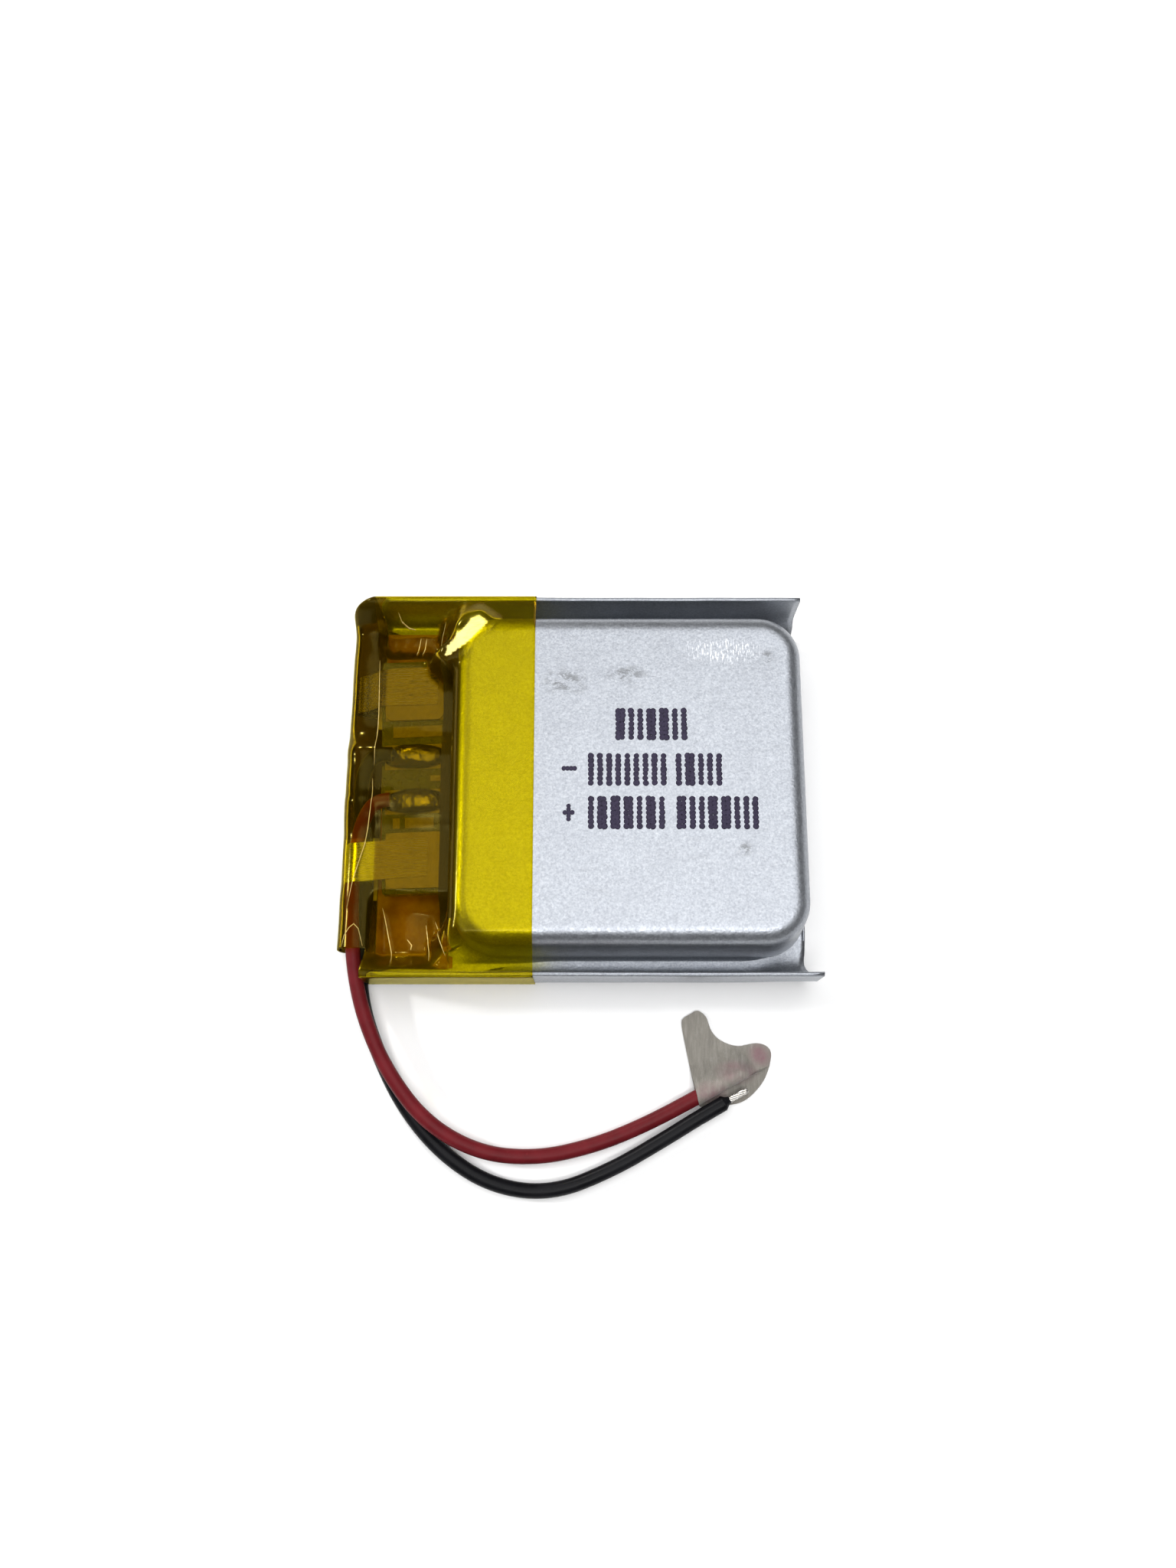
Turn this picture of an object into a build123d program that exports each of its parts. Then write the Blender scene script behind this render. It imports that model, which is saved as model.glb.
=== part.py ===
from build123d import *
import math
import os

# A single lithium pouch cell with its protection board and two soldered leads, in millimetres.
#
# The cell lies on its flat back. +X runs from the lead end to the folded end of the pouch,
# +Y runs across the cell and +Z points out of the formed cup. The origin is under the middle
# of the taped cell, at the height of the surface that the cell lies on.

# ---------------------------------------------------------------- driving dimensions

# Wrap tape: polyimide film, pressed a little way into the soft laminate's two flat faces
TAPE = 0.06
TAPE_SINK = 0.02
TAPE_EDGE_X = -2.15
TAPE_END_X = -12.36
TAPE_MOUTH_Y = -8.5
TAPE_OVER_BOARD_Z = 3.0

# Pouch: one sheet of aluminium laminate, folded at +X, with a deep-drawn cup in one half
FILM = 0.12
CELL_THICKNESS = 5.0
FOLD_X = 12.03
TERRACE_X = -10.6
SEAL_Y = 10.1
SEAL_BEND = 0.6
CREST_Z = 3.84
NEAR_EAR_X = 12.35
FAR_EAR_X = 11.95

# Cup: outline at its foot and at its face, before the edge is rounded
CUP_FOOT_X = (-6.4, 12.0)
CUP_FOOT_Y = 8.75
CUP_FACE_X = (-6.32, 11.72)
CUP_FACE_Y = 8.67
CUP_EDGE_RADIUS = 0.95
CUP_CORNER_RADIUS = 2.25

# Electrode stack
CATHODE_COUNT = 13
CATHODE = (14.4, 14.0, 0.13)
ANODE = (14.8, 14.4, 0.14)
SEPARATOR = (15.25, 14.8, 0.035)
STACK_CENTRE_X = 3.1
STACK_TAPE = 0.03
STACK_TAPE_WIDTH = 5.0
FOIL = 0.03
FOIL_REACH_X = -4.75
FOIL_WELD = (0.55, 0.16)

# Tabs: each leaves through the terrace seal and turns back over the board
TAB_WIDTH = 2.05
TAB = 0.08
POSITIVE_TAB_Y = -4.0
NEGATIVE_TAB_Y = 5.5
TAB_INNER_X = -5.3
POSITIVE_TURN_X = -11.2
NEGATIVE_TURN_X = -11.0
POSITIVE_TAB_END = (-7.75, 0.27)
NEGATIVE_TAB_END = (-7.45, 0.1)
SEALANT = (3.4, 0.14)
SEALANT_ROUND = 0.056
SEALANT_X = (-10.95, -5.9)

# Protection board, on its components over the terrace
BOARD = (3.5, 12.7, 0.65)
BOARD_CENTRE = (-8.55, 0.7)
BOARD_YAW = 2.2
BOARD_CORNER = 0.15
CHIP_HEIGHT = 1.1
COPPER = 0.03
WELD_PAD = 0.1
WELD_PAD_SIZE = (3.1, 2.95)
WELD_PAD_CORNER = 0.4
NEGATIVE_PAD_V = 4.5
POSITIVE_PAD_V = -4.6
BLACK_SOLDER_V = 1.0
RED_SOLDER_V = -1.45
SOLDER_HALF_LENGTH = 1.55
SOLDER_RADIUS = 0.66

# Leads: stranded copper in soft insulation
LEAD_RADIUS = 0.38
BORE_RADIUS = 0.19
CONDUCTOR_RADIUS = 0.16
IN_SOLDER = 1.3
RED_BARE_TIP = 0.9
BLACK_BARE_TIP = 1.4
RED_ROUTE = [
    (-9.75, -0.75, 2.55),
    (-10.5, -0.8, 2.55),
    (-11.15, -1.6, 2.1),
    (-11.55, -2.8, 1.6),
    (-11.75, -4.8, 1.42),
    (-11.7, -7.1, 1.32),
    (-11.5, -9.5, 1.22),
    (-10.85, -12.0, 1.16),
    (-9.6, -14.6, 1.16),
    (-7.6, -17.1, 1.1),
    (-4.9, -18.6, 0.6),
    (-1.9, -18.85, 0.39),
    (1.0, -18.2, 0.39),
    (3.4, -17.25, 0.4),
    (5.7, -16.1, 0.43),
    (7.8, -14.98, 0.43),
]
BLACK_ROUTE = [
    (-9.75, 1.72, 2.55),
    (-10.5, 1.78, 2.55),
    (-11.15, 1.2, 2.2),
    (-11.5, 0.0, 1.6),
    (-11.5, -1.7, 0.98),
    (-11.15, -3.6, 0.7),
    (-11.1, -5.9, 0.62),
    (-11.3, -8.4, 0.52),
    (-11.2, -11.0, 0.4),
    (-10.15, -13.8, 0.38),
    (-8.75, -16.4, 0.38),
    (-6.75, -18.65, 0.38),
    (-4.2, -20.2, 0.38),
    (-1.2, -20.55, 0.38),
    (1.8, -19.4, 0.38),
    (4.4, -17.95, 0.4),
    (6.35, -16.78, 0.43),
    (7.5, -16.16, 0.43),
]

# Flag of insulating tape, folded round the red lead's tip
FLAG_PLY = 0.05
FLAG_LEFT_TOP = (5.41, -12.2)
FLAG_LEFT_FOOT = (6.24, -16.35)
FLAG_RIGHT_FOOT = (8.1, -16.2)
FLAG_SIDE = (9.4, -15.25)
FLAG_TOE = (10.1, -13.7)
FLAG_TOE_ROUND = (9.85, -13.2)
FLAG_NOTCH_END = (9.2, -13.1)
FLAG_NOTCH = (7.75, -13.1)
FLAG_EAR_FOOT = (6.85, -12.1)
FLAG_EAR_TIP = (6.2, -11.45)

# ---------------------------------------------------------------- derived heights

BACK_Z = TAPE - TAPE_SINK
SEAM_Z = BACK_Z + FILM
CUP_Z = BACK_Z + CELL_THICKNESS
TERRACE_Z = SEAM_Z + FILM
BOARD_UNDER_Z = TERRACE_Z + TAPE + CHIP_HEIGHT
BOARD_TOP_Z = BOARD_UNDER_Z + BOARD[2]
PAD_TOP_Z = BOARD_TOP_Z + COPPER + WELD_PAD
ANODE_COUNT = CATHODE_COUNT + 1

os.makedirs("parts", exist_ok=True)


def save(piece, name):
    """Label a finished piece and write it as its own STEP file."""
    piece.part.label = name
    export_step(piece.part, f"parts/{name}.step")


def board_plane(height):
    """Plane in the board's own directions: u along its short side, v along its long side."""
    yaw = math.radians(BOARD_YAW)
    return Plane(
        origin=(BOARD_CENTRE[0], BOARD_CENTRE[1], height),
        x_dir=(math.cos(yaw), math.sin(yaw), 0),
        z_dir=(0, 0, 1),
    )


# ---------------------------------------------------------------- wrap tape

TAPE_SHOULDER_Y = 8.12
TAPE_VALLEY_Y = 7.6
TAPE_FAR_Y = 10.0
TAPE_LOW_ROUND = 0.8
body_start_x = CUP_FACE_X[0] - 3 * TAPE
terrace_start_x = TERRACE_X - 3 * TAPE


def girth_prism(half_outline, start_x, end_x, inset):
    """A length of the taped cell, with the same outline on both sides, drawn in by the inset."""
    with BuildPart() as prism:
        with BuildSketch(Plane.YZ.offset(start_x)) as girth:
            with BuildLine():
                Polyline(*half_outline, *[(-y, z) for y, z in reversed(half_outline)], close=True)
            make_face()
            fillet(girth.vertices().group_by(Axis.Y)[0], SEAL_BEND + TAPE)
            if inset:
                offset(amount=-inset, kind=Kind.INTERSECTION)
        extrude(amount=end_x - start_x)
    return prism.part


def taped_volume(inset):
    """The space inside the wrap tape's outer face, drawn in by the inset.

    The tape spans from each side seal to the cup, dips over the board, and bulges past the
    terrace round the leads and the turned tabs. A drawn-in space is open at the tape's edge
    and at the mouth that the leads leave by.
    """
    reach = 2 * TAPE if inset else 0
    side_seal = [(SEAL_Y + TAPE, 0), (SEAL_Y + TAPE, CREST_Z + TAPE), (SEAL_Y - 2 * FILM, CREST_Z + TAPE)]
    over_cup = side_seal + [(TAPE_SHOULDER_Y, CUP_Z - TAPE_SINK + TAPE)]
    over_board = side_seal + [(TAPE_VALLEY_Y, TAPE_OVER_BOARD_Z)]
    body = girth_prism(over_cup, body_start_x + inset, TAPE_EDGE_X + reach, inset)
    terrace = girth_prism(over_board, terrace_start_x + inset, body_start_x + reach, inset)
    bulge_inner_x = TERRACE_X
    with BuildPart() as volume:
        add(body)
        shoulder = volume.edges().filter_by(Axis.Y).sort_by(Axis.Z)[-2:].sort_by(Axis.X)[0]
        fillet(shoulder, CUP_EDGE_RADIUS - inset)
        add(terrace)
        with BuildSketch(Plane.XZ.offset(-TAPE_MOUTH_Y + reach)) as bulge:
            with Locations(((TAPE_END_X + bulge_inner_x) / 2, TAPE_OVER_BOARD_Z / 2)):
                Rectangle(bulge_inner_x - TAPE_END_X, TAPE_OVER_BOARD_Z)
            end_corners = bulge.vertices().group_by(Axis.X)[0].sort_by(Axis.Y)
            fillet(end_corners[0], TAPE_LOW_ROUND)
            fillet(end_corners[1], terrace_start_x - TAPE_END_X)
            if inset:
                offset(amount=-inset, kind=Kind.INTERSECTION)
        extrude(amount=-(TAPE_FAR_Y - inset - TAPE_MOUTH_Y + reach))
    return volume.part


tape_outside = taped_volume(0)
tape_inside = taped_volume(TAPE)
with BuildPart() as wrap_tape:
    add(tape_outside)
    add(tape_inside, mode=Mode.SUBTRACT)
save(wrap_tape, "wrap_tape")

# ---------------------------------------------------------------- pouch film


def folded_sheet(layer):
    """One film layer of the sealed margin: a flat floor with both sides folded up.

    Layer 0 is the back half, and layer 1 the cup half that lies on it.
    """
    half_width = SEAL_Y - layer * FILM
    floor_z = BACK_Z + layer * FILM
    bend = SEAL_BEND - layer * FILM
    tall = 4 * CREST_Z
    with BuildPart() as sheet:
        with BuildSketch(Plane.YZ.offset(TERRACE_X)):
            with Locations((0, floor_z + tall / 2)):
                RectangleRounded(2 * half_width, tall, bend)
            with Locations((0, floor_z + FILM + tall / 2)):
                RectangleRounded(2 * half_width - 2 * FILM, tall, bend - FILM, mode=Mode.SUBTRACT)
            with Locations((0, CREST_Z / 2)):
                Rectangle(3 * SEAL_Y, CREST_Z, mode=Mode.INTERSECT)
        extrude(amount=NEAR_EAR_X - TERRACE_X)
        add(seal_outline, mode=Mode.INTERSECT)
    return sheet.part


def cup_block(inset):
    """The formed cup as a solid: steep walls, rounded corners and a rounded face edge."""
    foot_length = CUP_FOOT_X[1] - CUP_FOOT_X[0] - 2 * inset
    face_length = CUP_FACE_X[1] - CUP_FACE_X[0] - 2 * inset
    with BuildPart() as block:
        with BuildSketch(Plane.XY.offset(SEAM_Z)):
            with Locations((sum(CUP_FOOT_X) / 2, 0)):
                RectangleRounded(foot_length, 2 * (CUP_FOOT_Y - inset), CUP_CORNER_RADIUS - inset)
        with BuildSketch(Plane.XY.offset(CUP_Z - inset)):
            with Locations((sum(CUP_FACE_X) / 2, 0)):
                RectangleRounded(face_length, 2 * (CUP_FACE_Y - inset), CUP_CORNER_RADIUS - inset)
        loft()
        fillet(block.faces().sort_by(Axis.Z)[-1].edges(), CUP_EDGE_RADIUS - inset)
    return block.part


def tab_channels():
    """The room that the two tabs and their sealant films take in the seal."""
    length = TAB_INNER_X - SEALANT_X[0] + TAPE
    with BuildPart() as channels:
        with BuildSketch(Plane.XY.offset(SEAM_Z - SEALANT[1] / 2)):
            with Locations(
                (SEALANT_X[0] + length / 2, POSITIVE_TAB_Y),
                (SEALANT_X[0] + length / 2, NEGATIVE_TAB_Y),
            ):
                Rectangle(length, SEALANT[0])
        extrude(amount=SEALANT[1])
    return channels.part


# The outline that both film layers are trimmed to, as seen from the side. The trimmed ends of
# the side seals lean outwards above the fold: further on the lead side than on the other side.
EAR_FOOT_Z = 1.6
EAR_ROUND = 0.45
TRIM_LEAN = 0.4
with BuildPart() as outline_block:
    for toward_y, ear_x in ((-1, NEAR_EAR_X), (1, FAR_EAR_X)):
        with BuildSketch(Plane.XZ) as side_view:
            with BuildLine():
                Polyline(
                    (TERRACE_X, 0),
                    (FOLD_X, 0),
                    (FOLD_X, TERRACE_Z),
                    (ear_x, EAR_FOOT_Z),
                    (ear_x, CREST_Z),
                    (TERRACE_X + TRIM_LEAN, CREST_Z),
                    close=True,
                )
            make_face()
            fillet(side_view.vertices().sort_by(Axis.X)[-1:], EAR_ROUND / 3)
            fillet(side_view.vertices().group_by(Axis.Y)[-1], EAR_ROUND)
        extrude(amount=-toward_y * (SEAL_Y + 1))
seal_outline = outline_block.part

back_sheet = folded_sheet(0)
cup_sheet = folded_sheet(1)
cup_outside = cup_block(0)
cup_inside = cup_block(FILM)
seal_channels = tab_channels()

with BuildPart() as pouch_back:
    add(back_sheet)
    add(seal_channels, mode=Mode.SUBTRACT)
    add(wrap_tape.part, mode=Mode.SUBTRACT)
save(pouch_back, "pouch_back")

with BuildPart() as pouch_cup:
    add(cup_sheet)
    add(cup_outside)
    add(cup_inside, mode=Mode.SUBTRACT)
    add(seal_channels, mode=Mode.SUBTRACT)
    add(wrap_tape.part, mode=Mode.SUBTRACT)
save(pouch_cup, "pouch_cup")

# ---------------------------------------------------------------- electrode stack

stack_floor_z = SEAM_Z + STACK_TAPE
plate_count = CATHODE_COUNT + ANODE_COUNT


def plate_level(index):
    """Height of a plate's lower face. Anodes are even and cathodes odd, from the back up."""
    anodes_below = (index + 1) // 2
    cathodes_below = index // 2
    plates = anodes_below * ANODE[2] + cathodes_below * CATHODE[2]
    return stack_floor_z + (index + 1) * SEPARATOR[2] + plates


def electrode_plate(size, level, tab_y, name):
    """A coated plate with a bare foil tongue that runs out to its tab."""
    length, width, thickness = size
    edge_x = STACK_CENTRE_X - length / 2
    tongue = edge_x - FOIL_REACH_X
    with BuildPart() as plate:
        with BuildSketch(Plane.XY.offset(level)):
            with Locations((STACK_CENTRE_X, 0)):
                Rectangle(length, width)
        extrude(amount=thickness)
        with BuildSketch(Plane.XY.offset(level + (thickness - FOIL) / 2)):
            with Locations((edge_x - tongue / 2, tab_y)):
                Rectangle(tongue, TAB_WIDTH)
        extrude(amount=FOIL)
    save(plate, name)


for index in range(plate_count):
    pair = index // 2 + 1
    if index % 2:
        electrode_plate(CATHODE, plate_level(index), POSITIVE_TAB_Y, f"cathode_plate_{pair:02d}")
    else:
        electrode_plate(ANODE, plate_level(index), NEGATIVE_TAB_Y, f"anode_plate_{pair:02d}")

# The separator is one ribbon, folded to and fro so that it passes between all the plates.
stack_top_z = plate_level(plate_count)
with BuildPart() as separator:
    with BuildSketch(Plane.YZ.offset(STACK_CENTRE_X)):
        for index in range(plate_count + 1):
            layer_z = plate_level(index) - SEPARATOR[2]
            with Locations((0, layer_z + SEPARATOR[2] / 2)):
                Rectangle(SEPARATOR[1], SEPARATOR[2])
            if index < plate_count:
                rise = plate_level(index + 1) - layer_z
                side = 1 if index % 2 else -1
                with Locations((side * (SEPARATOR[1] + SEPARATOR[2]) / 2, layer_z + rise / 2)):
                    Rectangle(SEPARATOR[2], rise)
    extrude(amount=SEPARATOR[0] / 2, both=True)
save(separator, "separator")

band_height = stack_top_z - stack_floor_z
band_width = SEPARATOR[1] + 2 * SEPARATOR[2] + 0.01
with BuildPart() as stack_tape:
    with BuildSketch(Plane.YZ.offset(STACK_CENTRE_X)):
        with Locations((0, stack_floor_z + band_height / 2)):
            Rectangle(band_width + 2 * STACK_TAPE, band_height + 2 * STACK_TAPE)
            Rectangle(band_width, band_height, mode=Mode.SUBTRACT)
    extrude(amount=STACK_TAPE_WIDTH / 2, both=True)
save(stack_tape, "stack_tape")

# ---------------------------------------------------------------- tabs


def foil_bundle(tab_y, first_plate, name):
    """The foil tongues, drawn together and welded to the tab's inner end."""
    tab_top = SEAM_Z + TAB / 2
    low = plate_level(first_plate)
    high = plate_level(plate_count - first_plate) - SEPARATOR[2]
    weld_back_x = TAB_INNER_X - FOIL_WELD[0]
    weld_top = tab_top + FOIL_WELD[1]
    with BuildPart() as bundle:
        with BuildSketch(Plane.XZ.offset(-tab_y)):
            with BuildLine():
                Polyline(
                    (weld_back_x, weld_top),
                    (weld_back_x, tab_top),
                    (TAB_INNER_X, tab_top),
                    (FOIL_REACH_X, low),
                    (FOIL_REACH_X, high),
                )
                Spline((FOIL_REACH_X, high), (TAB_INNER_X, high / 2), (weld_back_x, weld_top))
            make_face()
        extrude(amount=TAB_WIDTH / 2, both=True)
    save(bundle, name)


def tab(tab_y, turn_x, end, name):
    """A tab strip: out through the seal, round in a half turn and back over its weld pad."""
    end_x, skew = end
    turn_height = PAD_TOP_Z + TAB / 2 - SEAM_Z
    turn_radius = turn_height / 2
    with BuildPart() as strip:
        with BuildSketch(Plane.XZ.offset(-tab_y)):
            with BuildLine():
                Polyline((TAB_INNER_X, SEAM_Z), (turn_x, SEAM_Z))
                ThreePointArc(
                    (turn_x, SEAM_Z),
                    (turn_x - turn_radius, SEAM_Z + turn_radius),
                    (turn_x, SEAM_Z + turn_height),
                )
            trace(line_width=TAB)
        extrude(amount=TAB_WIDTH / 2, both=True)
        with BuildSketch(Plane.XY.offset(PAD_TOP_Z)):
            with BuildLine():
                Polyline(
                    (turn_x, tab_y - TAB_WIDTH / 2),
                    (end_x, tab_y - TAB_WIDTH / 2 + skew),
                    (end_x, tab_y + TAB_WIDTH / 2 + skew),
                    (turn_x, tab_y + TAB_WIDTH / 2),
                    close=True,
                )
            make_face()
        extrude(amount=TAB)
    save(strip, name)


def sealant(tab_y, name):
    """Sealant film, welded round the tab where it crosses the terrace seal."""
    length = SEALANT_X[1] - SEALANT_X[0]
    with BuildPart() as film:
        with BuildSketch(Plane.YZ.offset(SEALANT_X[0])):
            with Locations((tab_y, SEAM_Z)):
                RectangleRounded(SEALANT[0], SEALANT[1], SEALANT_ROUND)
                Rectangle(TAB_WIDTH, TAB, mode=Mode.SUBTRACT)
        extrude(amount=length)
    save(film, name)


foil_bundle(POSITIVE_TAB_Y, 1, "positive_foil_bundle")
foil_bundle(NEGATIVE_TAB_Y, 0, "negative_foil_bundle")
tab(POSITIVE_TAB_Y, POSITIVE_TURN_X, POSITIVE_TAB_END, "positive_tab")
tab(NEGATIVE_TAB_Y, NEGATIVE_TURN_X, NEGATIVE_TAB_END, "negative_tab")
sealant(POSITIVE_TAB_Y, "positive_tab_sealant")
sealant(NEGATIVE_TAB_Y, "negative_tab_sealant")

# ---------------------------------------------------------------- protection board

# Insulating tape on the terrace, between the laminate and the board's components
TERRACE_TAPE_Y = 9.3
TERRACE_TAPE_MARGIN = (0.05, 0.1)
terrace_tape_x = (TERRACE_X + TERRACE_TAPE_MARGIN[0], CUP_FOOT_X[0] - TERRACE_TAPE_MARGIN[1])
with BuildPart() as terrace_tape:
    with BuildSketch(Plane.XY.offset(TERRACE_Z)):
        with Locations((sum(terrace_tape_x) / 2, 0)):
            Rectangle(terrace_tape_x[1] - terrace_tape_x[0], 2 * TERRACE_TAPE_Y)
    extrude(amount=TAPE)
save(terrace_tape, "terrace_tape")

with BuildPart() as pcm_board:
    with BuildSketch(board_plane(BOARD_UNDER_Z)):
        RectangleRounded(BOARD[0], BOARD[1], BOARD_CORNER)
    extrude(amount=BOARD[2])
save(pcm_board, "pcm_board")

# Bare copper on the board's face: (u, v, width, height) of each area
COPPER_AREAS = [
    (0.0, NEGATIVE_PAD_V, WELD_PAD_SIZE[0], WELD_PAD_SIZE[1]),
    (0.0, POSITIVE_PAD_V, WELD_PAD_SIZE[0], WELD_PAD_SIZE[1]),
    (0.0, BLACK_SOLDER_V, 3.2, 1.35),
    (0.0, RED_SOLDER_V, 3.2, 1.3),
    (0.15, 2.4, 2.6, 0.6),
    (1.6, 2.4, 0.14, 0.7),
    (1.25, -0.2, 0.9, 0.3),
    (-1.0, -2.6, 0.35, 0.55),
    (0.2, -2.6, 1.5, 0.55),
    (1.5, -2.6, 0.3, 0.5),
]
with BuildPart() as board_copper:
    with BuildSketch(board_plane(BOARD_TOP_Z)):
        for u, v, width, height in COPPER_AREAS:
            with Locations((u, v)):
                Rectangle(width, height)
    extrude(amount=COPPER)
save(board_copper, "board_copper")


def weld_pad(v, name):
    """Nickel plate soldered to the board, for the tab's spot welds."""
    with BuildPart() as pad:
        with BuildSketch(board_plane(BOARD_TOP_Z + COPPER)):
            with Locations((0, v)):
                RectangleRounded(WELD_PAD_SIZE[0], WELD_PAD_SIZE[1], WELD_PAD_CORNER)
        extrude(amount=WELD_PAD)
    save(pad, name)


weld_pad(NEGATIVE_PAD_V, "negative_weld_pad")
weld_pad(POSITIVE_PAD_V, "positive_weld_pad")

# Six-pin package, under the board: its body, its pins and how far a pin's foot stands out
CHIP_BODY = (1.6, 2.9)
CHIP_STANDOFF = 0.1
PIN = (0.36, 0.14)
PIN_PITCH = 0.95
PIN_FOOT = 0.5


def chip(v, name):
    """A six-pin package, body down on the terrace tape and pins up to the board."""
    floor_z = BOARD_UNDER_Z - CHIP_HEIGHT
    leg_floor_z = floor_z + CHIP_HEIGHT / 2
    leg_u = CHIP_BODY[0] / 2 + PIN[1] / 2
    foot_u = CHIP_BODY[0] / 2 + PIN_FOOT / 2
    pin_rows = [(side, step * PIN_PITCH) for side in (-1, 1) for step in (-1, 0, 1)]
    with BuildPart() as package:
        with BuildSketch(board_plane(floor_z)):
            with Locations((0, v)):
                Rectangle(*CHIP_BODY)
        extrude(amount=CHIP_HEIGHT - CHIP_STANDOFF)
        with BuildSketch(board_plane(leg_floor_z)):
            with Locations([(side * leg_u, v + along) for side, along in pin_rows]):
                Rectangle(PIN[1], PIN[0])
        extrude(amount=BOARD_UNDER_Z - leg_floor_z)
        with BuildSketch(board_plane(BOARD_UNDER_Z - PIN[1])):
            with Locations([(side * foot_u, v + along) for side, along in pin_rows]):
                Rectangle(PIN_FOOT, PIN[0])
        extrude(amount=PIN[1])
    save(package, name)


# Two-terminal component: the ceramic body's size and the cap on each end
CERAMIC = (0.7, 0.46)
CAP = (0.15, 0.5)
CAP_OVER = 0.02


def chip_component(u, v, height, name):
    """A two-terminal component: a ceramic body with a metal cap on each end."""
    cap_u = (CERAMIC[0] + CAP[0]) / 2
    with BuildPart() as component:
        with BuildSketch(board_plane(BOARD_UNDER_Z - height + CAP_OVER)):
            with Locations((u, v)):
                Rectangle(*CERAMIC)
        extrude(amount=height - 2 * CAP_OVER)
        with BuildSketch(board_plane(BOARD_UNDER_Z - height)):
            with Locations((u - cap_u, v), (u + cap_u, v)):
                Rectangle(*CAP)
        extrude(amount=height)
    save(component, name)


RESISTOR_HEIGHT = 0.35
CAPACITOR_HEIGHT = 0.5
chip(2.9, "protection_ic")
chip(-3.4, "dual_mosfet")
chip_component(-0.8, 0.6, RESISTOR_HEIGHT, "supply_resistor")
chip_component(0.8, 0.6, RESISTOR_HEIGHT, "sense_resistor")
chip_component(-0.8, -0.8, CAPACITOR_HEIGHT, "filter_capacitor")

# ---------------------------------------------------------------- leads


def corner_radii(points):
    """Arc radius at each corner: 0.45 of its shorter run over the tangent of half its turn."""
    radii = []
    for before, corner, after in zip(points, points[1:], points[2:]):
        run_in = Vector(*corner) - Vector(*before)
        run_out = Vector(*after) - Vector(*corner)
        half_turn = math.radians(run_in.get_angle(run_out)) / 2
        radii.append(0.45 * min(run_in.length, run_out.length) / math.tan(half_turn))
    return radii


def extended(points, before, after):
    """The route with its first and last runs made longer along their own directions."""
    first = Vector(*points[0])
    last = Vector(*points[-1])
    start = first + (first - Vector(*points[1])).normalized() * before
    end = last + (last - Vector(*points[-2])).normalized() * after
    return [start] + [Vector(*point) for point in points[1:-1]] + [end]


def lead_rod(points, radii, radius):
    """A round rod along straight runs joined by tangent arcs."""
    with BuildPart() as rod:
        with BuildLine() as route:
            FilletPolyline(*points, radius=radii)
        path = route.wires()[0]
        with BuildSketch(Plane(origin=path @ 0, z_dir=path % 0)):
            Circle(radius)
        sweep(path=path)
    return rod.part, path.length


def lead(points, bare_tip, colour):
    """The insulation and the conductor of one lead, each a piece of its own."""
    radii = corner_radii(points)
    whole = extended(points, IN_SOLDER, bare_tip)
    bore = extended(points, LEAD_RADIUS, LEAD_RADIUS)
    outside, length = lead_rod(extended(points, 0, 0), radii, LEAD_RADIUS)
    hole, _ = lead_rod(bore, radii, BORE_RADIUS)
    core, core_length = lead_rod(whole, radii, CONDUCTOR_RADIUS)
    with BuildPart() as insulation:
        add(outside)
        add(hole, mode=Mode.SUBTRACT)
    save(insulation, f"{colour}_lead_insulation")
    with BuildPart() as conductor:
        add(core)
    save(conductor, f"{colour}_lead_conductor")
    ring = math.pi * (LEAD_RADIUS**2 - BORE_RADIUS**2)
    section = math.pi * CONDUCTOR_RADIUS**2
    print(colour, "radii", [round(radius, 2) for radius in radii])
    insulation_ratio = insulation.part.volume / ring / length
    conductor_ratio = core.volume / section / core_length
    print(colour, "insulation", round(length, 2), "volume ratio", round(insulation_ratio, 4))
    print(colour, "conductor", round(core_length, 2), "volume ratio", round(conductor_ratio, 4))
    return [outside, core]


red_rods = lead(RED_ROUTE, RED_BARE_TIP, "red")
black_rods = lead(BLACK_ROUTE, BLACK_BARE_TIP, "black")


def solder_joint(v, rods, name):
    """A long low bead of solder on its pad, closed round the end of its lead."""
    with BuildPart() as joint:
        with BuildSketch(board_plane(BOARD_TOP_Z + COPPER)):
            with BuildLine():
                ThreePointArc((-SOLDER_HALF_LENGTH, v), (0, v + SOLDER_RADIUS), (SOLDER_HALF_LENGTH, v))
                Line((SOLDER_HALF_LENGTH, v), (-SOLDER_HALF_LENGTH, v))
            make_face()
        plane = board_plane(BOARD_TOP_Z + COPPER)
        revolve(axis=Axis(plane.from_local_coords(Vector(0, v, 0)), plane.x_dir))
        split(bisect_by=plane, keep=Keep.TOP)
        add(rods, mode=Mode.SUBTRACT)
    save(joint, name)


solder_joint(RED_SOLDER_V, red_rods, "red_solder_joint")
solder_joint(BLACK_SOLDER_V, black_rods, "black_solder_joint")

# ---------------------------------------------------------------- flag on the red lead's tip

tip = Vector(*RED_ROUTE[-1])
tip_run = (tip - Vector(*RED_ROUTE[-2])).normalized()
axis_z = RED_ROUTE[-1][2]
FLAG_REACH = 7.0
FLAG_BEHIND = 1.0
MERGE_V = 1.35
MERGE_LAP = 0.15
PLY_GAP = 0.01
section_plane = Plane(
    origin=(tip.X, tip.Y, 0),
    x_dir=(-tip_run.Y, tip_run.X, 0),
    z_dir=(tip_run.X, tip_run.Y, 0),
)


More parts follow.
